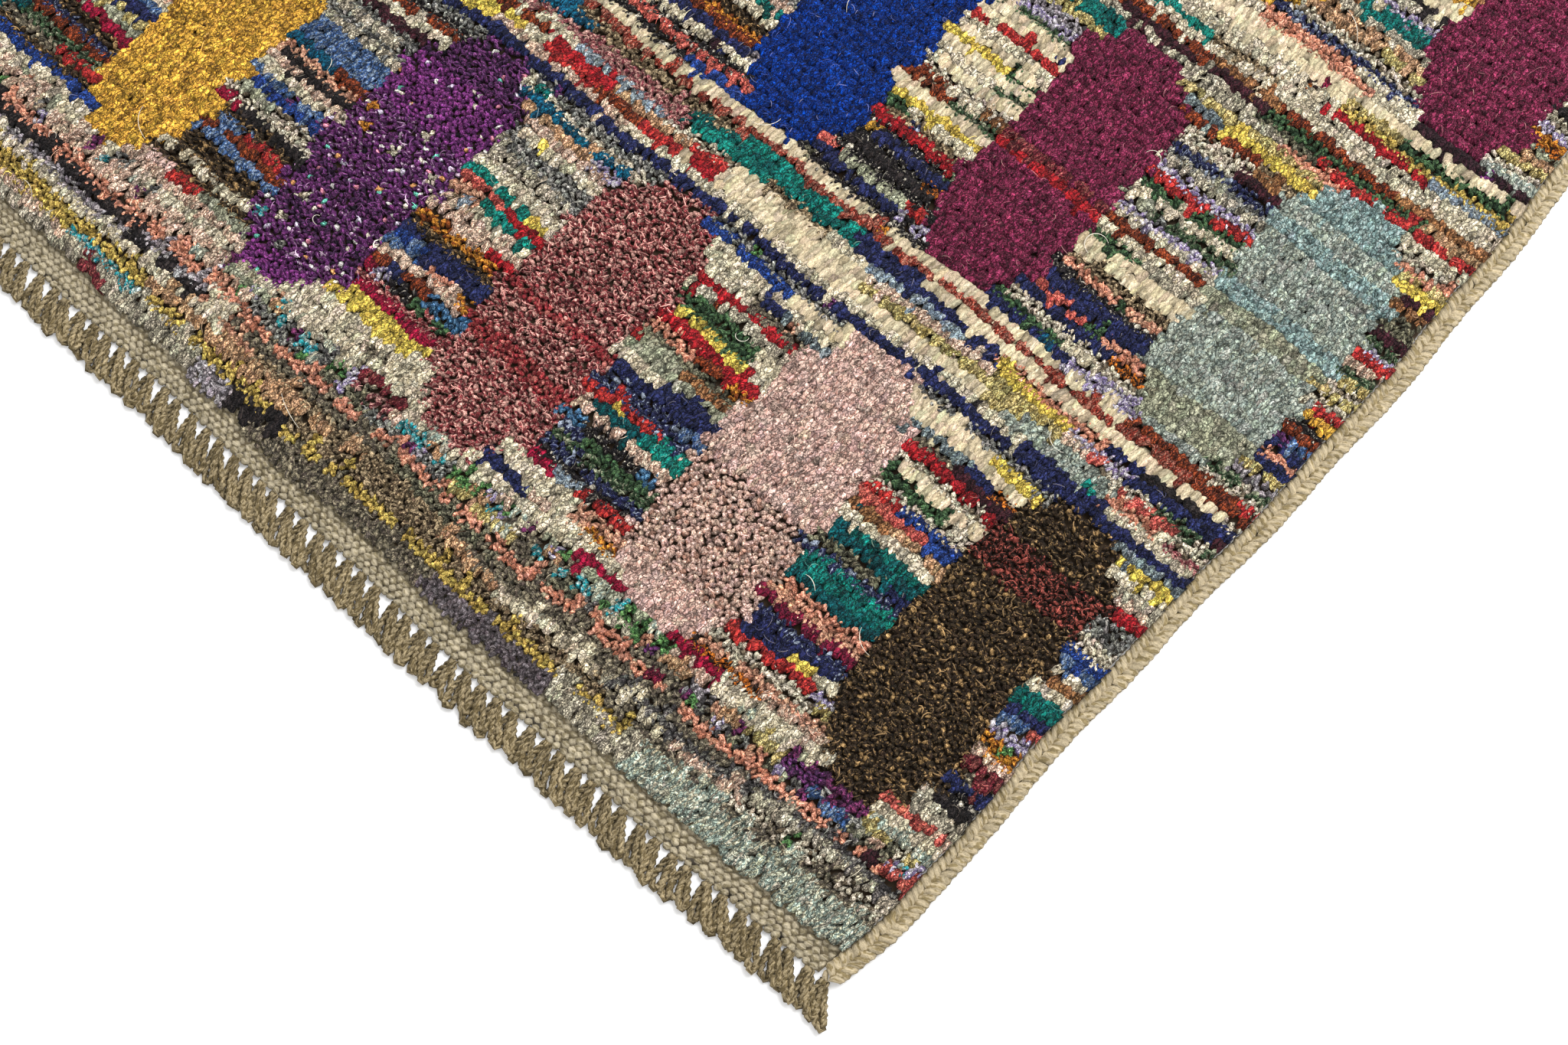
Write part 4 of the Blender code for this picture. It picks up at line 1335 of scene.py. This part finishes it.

# %% [markdown]
# ## The ground cloth
# Under the pile lies the cloth itself: warp and weft of undyed wool, beaten so close
# that it is as stiff as felt. It is one closed, thin mesh, made as a single long ring
# that goes across the top and back across the underside, and drawn together at both
# ends. Between tufts it is too deep for light to reach, so the top is dark, and its back
# shows the knots. A box would do for the eye as well.

# %% The shape of the ground cloth: lower under the flat weave than under the pile
GROUND_COLUMNS = 31
GROUND_ROWS = 61
STEP_OUTER = 0.008
STEP_MIDDLE = 0.009
STEP_INNER = 0.010
GROUND_HIGH = 4.6
GROUND_LOW = 2.0
CAP_HEIGHT = 1.0 * MM
CAP_INSET = 0.014
across_cloth = np.linspace(-BODY_HALF_WIDTH, BODY_HALF_WIDTH, GROUND_COLUMNS)
inner_rows = np.linspace(-PILE_HALF_LENGTH + STEP_INNER, PILE_HALF_LENGTH - STEP_INNER, GROUND_ROWS - 4)
along_cloth = np.concatenate(([-BODY_HALF_LENGTH, -PILE_HALF_LENGTH + STEP_OUTER], inner_rows,
                              [PILE_HALF_LENGTH - STEP_OUTER, BODY_HALF_LENGTH]))
ground_u, ground_v = np.meshgrid(across_cloth, along_cloth)
top_z = np.where(np.abs(ground_v) < PILE_HALF_LENGTH - STEP_MIDDLE, GROUND_HIGH, GROUND_LOW) * MM
ring_u = np.concatenate((ground_u, ground_u[:, ::-1]), axis=1)
ring_v = np.concatenate((ground_v, ground_v[:, ::-1]), axis=1)
ring_z = np.concatenate((top_z, np.zeros_like(top_z)), axis=1)
ground_rings = np.stack((ring_u, ring_v, ring_z), -1)
# the first and the last ring are drawn together in one point each, which closes the cloth
caps = ground_rings[[0, -1]].copy()
caps[:, :, 0] = 0.0
caps[:, :, 1] = caps[:, :, 1] - np.sign(caps[:, :, 1]) * CAP_INSET
caps[:, :, 2] = CAP_HEIGHT
ground_rings = np.concatenate((caps[:1], ground_rings, caps[1:]))
ground_points = lay_out(ground_rings[..., 0], ground_rings[..., 1], ground_rings[..., 2])[None]
ground_mesh = mesh_of_copies("ground_cloth", ground_points,
                             grid_template(GROUND_ROWS + 2, 2 * GROUND_COLUMNS, closed=True))
print("ground cloth:", len(ground_mesh.vertices), "points")

# %% Undyed wool, knotted: rough and patchy, with a bump for every knot on the back, and painted shade on its top
KNOTS_PER_METRE = 160.0
PATCHES_PER_METRE = 14.0
KNOT_BUMP = 0.8 * MM
BACK_DARK = "8A7B5E"
BACK_LIGHT = "A6977A"
# the top is painted in this dark brown, as the shade between the tufts
TOP_IN_SHADE = "4A3C2E"
TONE_MARGIN = 0.2
ground_wool = bpy.data.materials.new("undyed wool ground, knotted back")
ground_wool.use_nodes = True
tree = ground_wool.node_tree
shader = tree.nodes["Principled BSDF"]
shader.inputs["Roughness"].default_value = 0.9
shader.inputs["Specular IOR Level"].default_value = 0.15
shader.inputs["Sheen Weight"].default_value = 0.15
where = add_node(tree, "ShaderNodeTexCoord")
height_of = add_node(tree, "ShaderNodeSeparateXYZ", [(where.outputs["Object"], 0)])
top_shade_share = add_node(tree, "ShaderNodeMapRange", [(height_of.outputs[2], "Value")],
                  From_Min=(GROUND_LOW + TONE_MARGIN) * MM,
                  From_Max=(GROUND_HIGH - TONE_MARGIN) * MM, To_Min=0.0, To_Max=1.0)
knot_grid = add_node(tree, "ShaderNodeTexVoronoi", [(where.outputs["Object"], "Vector")],
                     Scale=KNOTS_PER_METRE, Randomness=0.5)
patches = add_node(tree, "ShaderNodeTexNoise", [(where.outputs["Object"], "Vector")],
                   Scale=PATCHES_PER_METRE, Detail=3.0)
dark, light, in_shade = [(*linear(hex_colour), 1.0) for hex_colour in (BACK_DARK, BACK_LIGHT, TOP_IN_SHADE)]
back_tone = add_node(tree, "ShaderNodeMix", [(patches.outputs["Fac"], 0), (dark, 6), (light, 7)],
                     data_type="RGBA")
back_tone_and_top_shade = add_node(tree, "ShaderNodeMix",
                       [(top_shade_share.outputs[0], 0), (back_tone.outputs[2], 6), (in_shade, 7)],
                       data_type="RGBA")
tree.links.new(back_tone_and_top_shade.outputs[2], shader.inputs["Base Color"])
knot_bump = add_node(tree, "ShaderNodeBump", [(knot_grid.outputs["Distance"], "Height")], Strength=0.8,
                     Distance=KNOT_BUMP)
tree.links.new(knot_bump.outputs[0], shader.inputs["Normal"])
ground = add_piece("ground_cloth", ground_mesh, ground_wool)

# %% [markdown]
# ## The flat-woven ends
# Past the last knots the weft goes on alone: thick undyed wool, over one warp and under
# the next, so that each pass shows as a row of round pebbles, and each row is shifted by
# half against the last. A bump in a material would do from above, but its outline would
# stay straight, so every pebble is a small dome of twelve points. They stand 5.4 mm
# apart and are a little wider than that, so that they press against each other.

# %% Where the pebbles of weft are
PEBBLE_PITCH = 5.4 * MM
PEBBLE_ROWS = 7
WEAVE_BAND = WEAVE_DEPTH + 0.0118
WEAVE_PAST_BODY = 0.0012
ROW_SHIFT = 0.5
FIRST_SHIFT = 0.25
PEBBLE_WANDER_U = 0.30
PEBBLE_WANDER_V = 0.22
pebbles_across = round(2 * BODY_HALF_WIDTH / PEBBLE_PITCH)
side_, row_, place_ = every([-1, 1], np.arange(PEBBLE_ROWS), np.arange(pebbles_across))
pebbles = len(side_)
middle_u = -BODY_HALF_WIDTH + (place_ + 0.5 + ROW_SHIFT * (row_ % 2) - FIRST_SHIFT) * PEBBLE_PITCH
middle_u = middle_u + noise(0, PEBBLE_WANDER_U, pebbles) * MM
middle_v = BODY_HALF_LENGTH + WEAVE_PAST_BODY - (row_ + 0.5) * WEAVE_BAND / PEBBLE_ROWS
middle_v = middle_v + noise(0, PEBBLE_WANDER_V, pebbles) * MM
print(pebbles, "pebbles in", PEBBLE_ROWS, "rows at each end")

# %% The dome of a pebble: four points across, three deep, smaller at its rims
PEBBLE_HALF_U = 3.0 * MM
PEBBLE_HALF_V = 2.4 * MM
PEBBLE_TOP = 3.6 * MM
PEBBLE_FALL = 1.7 * MM
FLAT_TOP = 0.25
FALL_MOST = 1.3
SIZE_SPREAD = 0.08
TILT_SPREAD = 0.10
CROWN_SPREAD = 0.20
dome = np.array([-1.0, -0.45, 0.45, 1.0])
deep = np.array([-1.0, 0.0, 1.0])
narrow_rims = np.array([0.72, 1.0, 0.72])[:, None]
short_rims = np.array([0.72, 1.0, 1.0, 0.72])
half_u = (PEBBLE_HALF_U * (1 + noise(0, SIZE_SPREAD, pebbles)))[:, None, None]
half_v = (PEBBLE_HALF_V * (1 + noise(0, SIZE_SPREAD, pebbles)))[:, None, None]
tilt = noise(0, TILT_SPREAD, pebbles)[:, None, None] * half_u * dome[None, None, :]
pebble_u = middle_u[:, None, None] + half_u * dome[None, None] * narrow_rims
pebble_u = np.clip(pebble_u, -BODY_HALF_WIDTH, BODY_HALF_WIDTH)
pebble_v = middle_v[:, None, None] + half_v * deep[None, :, None] * short_rims[None, None] + tilt
crown = PEBBLE_TOP + noise(0, CROWN_SPREAD, pebbles) * MM
from_middle = deep[:, None] ** 2 + dome[None] ** 2
pebble_z = crown[:, None, None] - (PEBBLE_FALL * np.clip(from_middle - FLAT_TOP, 0, FALL_MOST))[None]
pebble_points = lay_out(pebble_u, pebble_v * side_[:, None, None], pebble_z)
pebble_points = turned_over(pebble_points, side_ > 0, axis=1)
print("pebbles up to", round(1000 * float(pebble_z.max()), 1), "mm high")

# %% Undyed wool weft: thick and soft, so the fibres hardly show and the domes do, with painted light on their tops and painted shade at their rims
PEBBLE_TOP_SHADE = 1.22
PEBBLE_SHADE_FALL = 0.58
PEBBLE_SHADE_LIMITS = (0.25, 1.05)
PEBBLE_VARIES = (0.09, 0.75, 1.25)
# rows nearer the pile are painted lighter, against the shadow that the pile casts on them
ROW_PAINTED_LIGHT = 0.04
PEBBLE_LIE_V = 2.2
PEBBLE_LIE_U = 2.8


def plain_layer(shade, tone):
    """Only the shade matters where the material gives the colours."""
    layer = np.ones((len(tone), shade.shape[-1], 4))
    layer[..., 3] = shade * tone[:, None]
    return layer


weft_wool = yarn_material("undyed wool weft, tabby", ("B6AA90", "93876B"), across=0.5, along=0.22,
                          contrast=0.22, bump_depth=0.4)
pebble_shade = np.clip(PEBBLE_TOP_SHADE - PEBBLE_SHADE_FALL * from_middle, *PEBBLE_SHADE_LIMITS).ravel()
wool_tone = varied(pebbles, *PEBBLE_VARIES) * (1 + ROW_PAINTED_LIGHT * row_)
pebble_lie = lie_layer(np.broadcast_to(deep[:, None] * PEBBLE_LIE_V, pebble_z.shape),
                       np.broadcast_to(dome * PEBBLE_LIE_U, pebble_z.shape))
weave_mesh = mesh_of_copies("flat_weave", pebble_points, grid_template(len(deep), len(dome)),
                            plain_layer(pebble_shade, wool_tone), lie=pebble_lie)
flat_weave = add_piece("flat_weave", weave_mesh, weft_wool)

# %% [markdown]
# ## The side cords
# Each side is finished with two warp cords lying side by side, and wool wrapped round
# both in a figure of eight. It shows as two columns of slanting wraps that interlock
# over the furrow between the cords. One long helix would be simpler, but its turns would
# be all alike and would cut through each other in the furrow, so each wrap is a short
# bowed strip of its own. A core under them, painted in shade, keeps light from shining through.

# %% Where the wraps are: in two columns on each side, half a step apart
WRAP_PITCH = 4.5 * MM
COLUMN_OFFSET = 3.2 * MM
CORD_MIDDLE = CLOTH_WIDTH / 2 - CORD_WIDTH / 2
CORD_HALF_LENGTH = BODY_HALF_LENGTH + 0.001
TAPER_LENGTH = 7 * MM
TAPER_INWARDS = 3 * MM
TAPER_LEAST = 0.35
TAPER_TIP = 0.02
COLUMN_SHIFT = 0.25
WRAP_WANDER = 0.30
PLUMP_SPREAD = 0.05
wraps_along = int(CLOTH_LENGTH / WRAP_PITCH)
side_, column_, place_ = every([-1, 1], [-1, 1], np.arange(wraps_along))
wraps = len(side_)
# how far round its cord a wrap reaches, in degrees from the top, towards the outside
WRAP_STEPS = 6
INNER_ARC = (-75, 62)
OUTER_ARC = (-62, 125)
ARC_SPREAD = 4
inner_angles = np.radians(np.linspace(*INNER_ARC, WRAP_STEPS))
outer_angles = np.radians(np.linspace(*OUTER_ARC, WRAP_STEPS))
angles = np.where((column_ > 0)[:, None], outer_angles[None], inner_angles[None])
angles = angles + np.radians(noise(0, ARC_SPREAD, wraps))[:, None]
middle_v = ((place_ + 0.5 + COLUMN_SHIFT * column_) / wraps_along - 0.5) * 2 * CORD_HALF_LENGTH
middle_v = middle_v + noise(0, WRAP_WANDER, wraps) * MM
from_end = np.clip((CORD_HALF_LENGTH - np.abs(middle_v)) / TAPER_LENGTH, TAPER_TIP, 1.0)
taper = np.sqrt(1 - (1 - from_end) ** 2)
middle_u = CORD_MIDDLE - (1 - taper) * TAPER_INWARDS + column_ * COLUMN_OFFSET * taper
plump = (1 + noise(0, PLUMP_SPREAD, wraps)) * (TAPER_LEAST + (1 - TAPER_LEAST) * taper)
print(wraps, "wraps,", wraps_along, "in each column")

# %% The shape of a wrap: bowed over its cord, slanting, and sunk along both edges
COLUMN_REACH = 4.3 * MM
COLUMN_RISE = 3.1 * MM
COLUMN_FOOT = 2.85 * MM
WRAP_HALF_WIDTH = 2.6 * MM
WRAP_SLANT = 1.7
WRAP_SLANT_SPREAD = 0.5
WRAP_LOWEST = 0.15 * MM
CORD_END_SPILL = 0.001
across_wrap = np.array([-1.0, 0.0, 1.0])
sunk = np.abs(across_wrap)[None, None] * MM
wrap_u = middle_u[:, None, None] + ((COLUMN_REACH * plump)[:, None, None] - sunk) * np.sin(angles)[:, :, None]
wrap_z = COLUMN_FOOT + ((COLUMN_RISE * plump)[:, None, None] - sunk) * np.cos(angles)[:, :, None]
wrap_z = np.maximum(wrap_z, WRAP_LOWEST)
slant = (WRAP_SLANT * column_ + noise(0, WRAP_SLANT_SPREAD, wraps))[:, None] * MM * np.sin(angles)
wrap_v = (middle_v[:, None] + slant)[:, :, None] + across_wrap[None, None] * WRAP_HALF_WIDTH
wrap_v = np.clip(wrap_v, -CORD_HALF_LENGTH - CORD_END_SPILL, CORD_HALF_LENGTH + CORD_END_SPILL)
wrap_points = lay_out(wrap_u * side_[:, None, None], wrap_v, wrap_z)
wrap_points = turned_over(wrap_points, side_ > 0, axis=2)
print("wraps up to", round(1000 * float(wrap_z.max()), 1), "mm high")

# %% Undyed wool, wrapped: painted shade where a wrap turns down or dives under the next
SHADE_LEAST = 0.62
MM_PER_DEGREE = 0.07
WRAP_LIE_MM = 2.0
WRAP_VARIES = (0.08, 0.8, 1.2)
wrap_wool = yarn_material("undyed wool, wrapped over the side cords", ("BFAF90", "9A8964"), across=0.55,
                          along=0.2, contrast=0.20, bump_depth=0.4)
rounding = np.tile([SHADE_LEAST, 1.0, SHADE_LEAST], WRAP_STEPS)
upwards = np.clip(np.cos(angles) * 2.0, 0, 1)
turning = np.repeat(SHADE_LEAST + (1 - SHADE_LEAST) * upwards, len(across_wrap), axis=1)
wool_tone = varied(wraps, *WRAP_VARIES)
round_cord = (np.degrees(angles) * MM_PER_DEGREE)[:, :, None]
wrap_lie = lie_layer(np.broadcast_to(across_wrap * WRAP_LIE_MM, wrap_z.shape),
                     np.broadcast_to(round_cord, wrap_z.shape))
wrap_mesh = mesh_of_copies("side_wraps", wrap_points, grid_template(WRAP_STEPS, len(across_wrap)),
                           plain_layer(rounding * turning, wool_tone), lie=wrap_lie)
side_wraps = add_piece("side_wraps", wrap_mesh, wrap_wool,
                       ["side_cord_left", "side_cord_right"])

# %% Cores under the wraps, painted in shade
CORE_RINGS = 90
CORE_SIDES = 6
CORE_HALF_WIDTH = 3.4 * MM
CORE_MIDDLE = 2.5 * MM
CORE_HALF_HEIGHT = 2.2 * MM
CORE_SHORTER = 0.004
CORE_SHADE = 0.4
turn_angle = np.linspace(0, 2 * np.pi, CORE_SIDES, endpoint=False)
core_v = np.linspace(-CORD_HALF_LENGTH + CORE_SHORTER, CORD_HALF_LENGTH - CORE_SHORTER, CORE_RINGS)
core_size = np.ones(CORE_RINGS)
core_size[[0, -1]] = 0.0
ring_z = CORE_MIDDLE + np.outer(core_size, np.sin(turn_angle)) * CORE_HALF_HEIGHT
cores = []
for side in (-1, 1):
    for column in (-1, 1):
        core_u = side * (CORD_MIDDLE + column * COLUMN_OFFSET)
        ring_u = core_u + np.outer(core_size, np.cos(turn_angle)) * CORE_HALF_WIDTH
        cores.append(lay_out(ring_u, core_v[:, None], ring_z))
core_points = np.array(cores)
core_shade = np.full(CORE_RINGS * CORE_SIDES, CORE_SHADE)
core_lie = lie_layer(core_points[..., 0] * 1000, core_points[..., 1] * 1000)
core_mesh = mesh_of_copies("cord_cores", core_points, grid_template(CORE_RINGS, CORE_SIDES, closed=True),
                           plain_layer(core_shade, np.ones(len(cores))), lie=core_lie)
cord_cores = add_piece("cord_cores", core_mesh, wrap_wool)

# %% [markdown]
# ## The fringe
# The warp threads end in loops. Two loops of two-ply cord hang from each small knot: each
# runs out, turns at the tip and comes back beside itself. Each ply is a thin tube that
# winds round the path of the loop, because light and dark plies are what tells a twisted
# cord from a tube. The loops are wide enough to touch their neighbours near the tips, and
# they all lie over to the same side, so that only small eyes stay open beside the knots.

# %% Where the tassels are, and how far each leans; tassels beside each other lean together
TASSELS = 72
FRINGE_WIDTH = 0.8825
TASSEL_PITCH = FRINGE_WIDTH / (TASSELS - 1)
TASSEL_WANDER = 1.3
TASSEL_WANDER_MOST = 1.7
TASSEL_LEAN = 10.0
LEAN_TOGETHER = 2.6
LEAN_ALONE = 1.2
tassel_wander = np.clip(noise(0, TASSEL_WANDER, (2, TASSELS)), -TASSEL_WANDER_MOST, TASSEL_WANDER_MOST)
tassel_at = -FRINGE_WIDTH / 2 + np.arange(TASSELS) * TASSEL_PITCH + tassel_wander * MM
clump = noise(0, 1, (2, TASSELS + 2))
clump = (clump[:, :-2] + clump[:, 1:-1] + clump[:, 2:]) / np.sqrt(3)
tassel_lean = (TASSEL_LEAN + LEAN_TOGETHER * clump + noise(0, LEAN_ALONE, (2, TASSELS))) * MM
print(TASSELS, "tassels a side, one every", round(1000 * TASSEL_PITCH, 1), "mm")

# %% Sizes of a loop in millimetres: mean and spread, or least and most
RINGS = 26
LOOP_REACH = (21.2, 1.2)
LOOP_REACH_LIMITS = (17.5, 22.8)
LOOP_BOW = (2.8, 0.3)
LOOP_BOW_LIMITS = (2.2, 3.4)
LOOPS_APART_AT_TIP = (3.3, 0.8)
LOOPS_APART_AT_ROOT = 1.3
LOOP_START = 0.0010
LOOP_HEIGHT = 2.5
LOOP_OVER_LOOP = 0.5
LOOP_WAVE = 0.5 * MM
WAVE_SHIFT_MOST = 6.3
SPREAD_AT_ROOT = 0.12
SPREAD_GROWTH = 1.15
LEAN_POWER = 1.3
print("loops reach", LOOP_REACH[0], "mm out and are", 2 * LOOP_BOW[0], "mm wide")

# %% Paths of the loops: out along one leg, round the bow, and back along the other leg
side_, place_, which_ = every([-1, 1], np.arange(TASSELS), [-1, 1])
loops = len(side_)
which_side = (side_ > 0).astype(int)
q = np.linspace(0.0, 1.0, RINGS)
reach_out = np.clip(noise(0, LOOP_REACH[1], loops) + LOOP_REACH[0], *LOOP_REACH_LIMITS)[:, None] * MM
apart = LOOPS_APART_AT_TIP[0] + noise(0, LOOPS_APART_AT_TIP[1], loops)
lean = (tassel_lean[which_side, place_] + which_ * apart * MM)[:, None]
root_at = (tassel_at[which_side, place_] + which_ * LOOPS_APART_AT_ROOT * MM)[:, None]
bow = np.clip(noise(*LOOP_BOW, loops), *LOOP_BOW_LIMITS)[:, None] * MM
leg = reach_out - bow
whole_path = 2 * leg + np.pi * bow
passed = q[None] * whole_path
turned = np.clip((passed - leg) / bow, 0, np.pi)
on_leg = np.minimum(passed, whole_path - passed)
out = np.where(on_leg < leg, on_leg, leg + bow * np.sin(turned)) / reach_out
spread = bow * np.clip(SPREAD_AT_ROOT + SPREAD_GROWTH * out, 0, 1)
loop_u = root_at + lean * out ** LEAN_POWER + spread * np.cos(turned)
loop_v = BODY_HALF_LENGTH + LOOP_START + reach_out * out
wave_shift = WAVE_SHIFT_MOST * random_numbers.random(loops)[:, None]
wave = np.sin(2 * np.pi * q[None] + wave_shift)
loop_z = (LOOP_HEIGHT + LOOP_OVER_LOOP * which_)[:, None] * MM + LOOP_WAVE * wave
step_mm = np.hypot(np.diff(loop_u, axis=1), np.diff(loop_v, axis=1)) * 1000
path_mm = np.concatenate((np.zeros((loops, 1)), np.cumsum(step_mm, axis=1)), axis=1)
print("two loops a tassel; the first is", round(path_mm[0, -1], 1), "mm long")

# %% Tubes round paths
PLY_SIDES = 4
PLY_LOWEST = 0.1 * MM
PLY_HIGHEST = 6.4 * MM
TINY = 1e-9
ply_turn = np.linspace(0, 2 * np.pi, PLY_SIDES, endpoint=False)


def steps_along(u, v):
    """How far each path goes at each of its rings: across the rug, along it, and in all."""
    du = np.gradient(u, axis=1)
    dv = np.gradient(v, axis=1)
    return du, dv, np.hypot(du, dv)


def tubes_along(u, v, z, thickness):
    """Tubes round paths that lie roughly level: u, v and z of [tube, ring, side]."""
    du, dv, size = steps_along(u, v)
    size = size + TINY
    level = thickness[:, :, None] * np.cos(ply_turn)
    tube_u = u[:, :, None] + (dv / size)[:, :, None] * level
    tube_v = v[:, :, None] - (du / size)[:, :, None] * level
    tube_z = z[:, :, None] + thickness[:, :, None] * np.sin(ply_turn)
    return tube_u, tube_v, np.clip(tube_z, PLY_LOWEST, PLY_HIGHEST)


# %% Plies of the loops: two thin tubes round each path, half a turn apart
PLY_TURN_MM = 8.5
PLY_OFFSET = 1.1 * MM
PLY_FLATTER = 0.85
PLY_HALF = 1.55 * MM
PLY_VARIES = 0.07
ROOT_THICKNESS = 0.50
THICK_FROM = 0.6
ply_points = []
ply_height = []
du, dv, size = steps_along(loop_u, loop_v)
first_phase = random_numbers.uniform(0, 2 * np.pi, loops)
for ply in (0, 1):
    phase = first_phase[:, None] + np.pi * ply + 2 * np.pi * path_mm / PLY_TURN_MM
    ply_u = loop_u + dv / size * PLY_OFFSET * np.cos(phase)
    ply_v = loop_v - du / size * PLY_OFFSET * np.cos(phase)
    ply_z = loop_z + PLY_FLATTER * PLY_OFFSET * np.sin(phase)
    plumper = ROOT_THICKNESS + (1 - ROOT_THICKNESS) * np.clip(out / THICK_FROM, 0, 1)
    thickness = PLY_HALF * (1 + noise(0, PLY_VARIES, loops))[:, None] * plumper
    tube_u, tube_v, tube_z = tubes_along(ply_u, ply_v, ply_z, thickness)
    ply_points.append(lay_out(tube_u, tube_v * side_[:, None, None], tube_z))
    ply_height.append(tube_z)
ply_points = np.concatenate(ply_points)
ply_height = np.concatenate(ply_height)
print(2 * loops, "plies")

# %% Undyed wool warp, twisted: painted light on top, painted shade between the plies and against the floor
SHADE_DARK = 0.32
SHADE_RISE = 0.73
SHADE_FROM = 1.2 * MM
SHADE_OVER = 3.6 * MM
PLY_LIE_MM = 1.6
PLY_TONE = (0.09, 0.8, 1.2)
warp_wool = yarn_material("undyed wool warp, twisted", ("AE9D7B", "796A4B"), share=0.40, across=0.7,
                          along=0.30, contrast=0.34, bump_depth=0.5)
ply_shade = SHADE_DARK + SHADE_RISE * np.clip((ply_height - SHADE_FROM) / SHADE_OVER, 0, 1)
ply_shade = ply_shade.reshape(2 * loops, -1)
ply_tone = varied(2 * loops, *PLY_TONE)
ply_side = np.tile(side_, 2)
ply_path = np.tile(path_mm, (2, 1))[:, :, None]
ply_lie = lie_layer(np.broadcast_to(PLY_LIE_MM * np.cos(ply_turn), ply_height.shape),
                    np.broadcast_to(ply_path, ply_height.shape))
ply_points = turned_over(ply_points, ply_side > 0, axis=2)
for name, side, node in (("fringe_loops_near", -1, "fringe_near"), ("fringe_loops_far", 1, "fringe_far")):
    part = ply_side == side
    mesh = mesh_of_copies(name, ply_points[part], grid_template(RINGS, PLY_SIDES, closed=True),
                          plain_layer(ply_shade[part], ply_tone[part]), lie=ply_lie[part])
    add_piece(name, mesh, warp_wool, [node])

# %% Root knots of the tassels: round beads, drawn in at both ends
KNOT_RINGS = 4
KNOT_SIDES = 6
KNOT_HALF_U = 2.9 * MM
KNOT_HALF_V = 2.3 * MM
KNOT_HALF_Z = 2.2 * MM
KNOT_MIDDLE_Z = 2.5 * MM
KNOT_START = 0.0030
KNOT_SHADE = 0.85
ring_at = np.array([-1.0, -0.45, 0.45, 1.0])[None, :, None]
ring_size = np.array([0.0, 0.9, 0.9, 0.0])[None, :, None]
ring_turn = np.linspace(0, 2 * np.pi, KNOT_SIDES, endpoint=False)
knot_at = tassel_at.ravel()[:, None, None]
knot_side = np.repeat([-1, 1], TASSELS)
knot_u = knot_at + ring_size * np.cos(ring_turn) * KNOT_HALF_U
knot_v = BODY_HALF_LENGTH + KNOT_START + ring_at * KNOT_HALF_V
knot_z = np.broadcast_to(KNOT_MIDDLE_Z + ring_size * np.sin(ring_turn) * KNOT_HALF_Z, knot_u.shape)
knot_points = lay_out(knot_u, knot_v * knot_side[:, None, None], knot_z)
knot_points = turned_over(knot_points, knot_side < 0, axis=2)
knot_lie = lie_layer((knot_u - knot_at) * 1000, knot_z * 1000)
knot_shade = np.full(KNOT_RINGS * KNOT_SIDES, KNOT_SHADE)
knot_mesh = mesh_of_copies("fringe_knots", knot_points, grid_template(KNOT_RINGS, KNOT_SIDES, closed=True),
                           plain_layer(knot_shade, np.ones(2 * TASSELS)), lie=knot_lie)
fringe_knots = add_piece("fringe_knots", knot_mesh, warp_wool)

# %% [markdown]
# ## Counting triangles
# The last cell adds up the triangles of all the pieces.

# %% Triangles in all
bpy.context.view_layer.update()
print("triangles in all:", sum(TRIANGLES.values()))
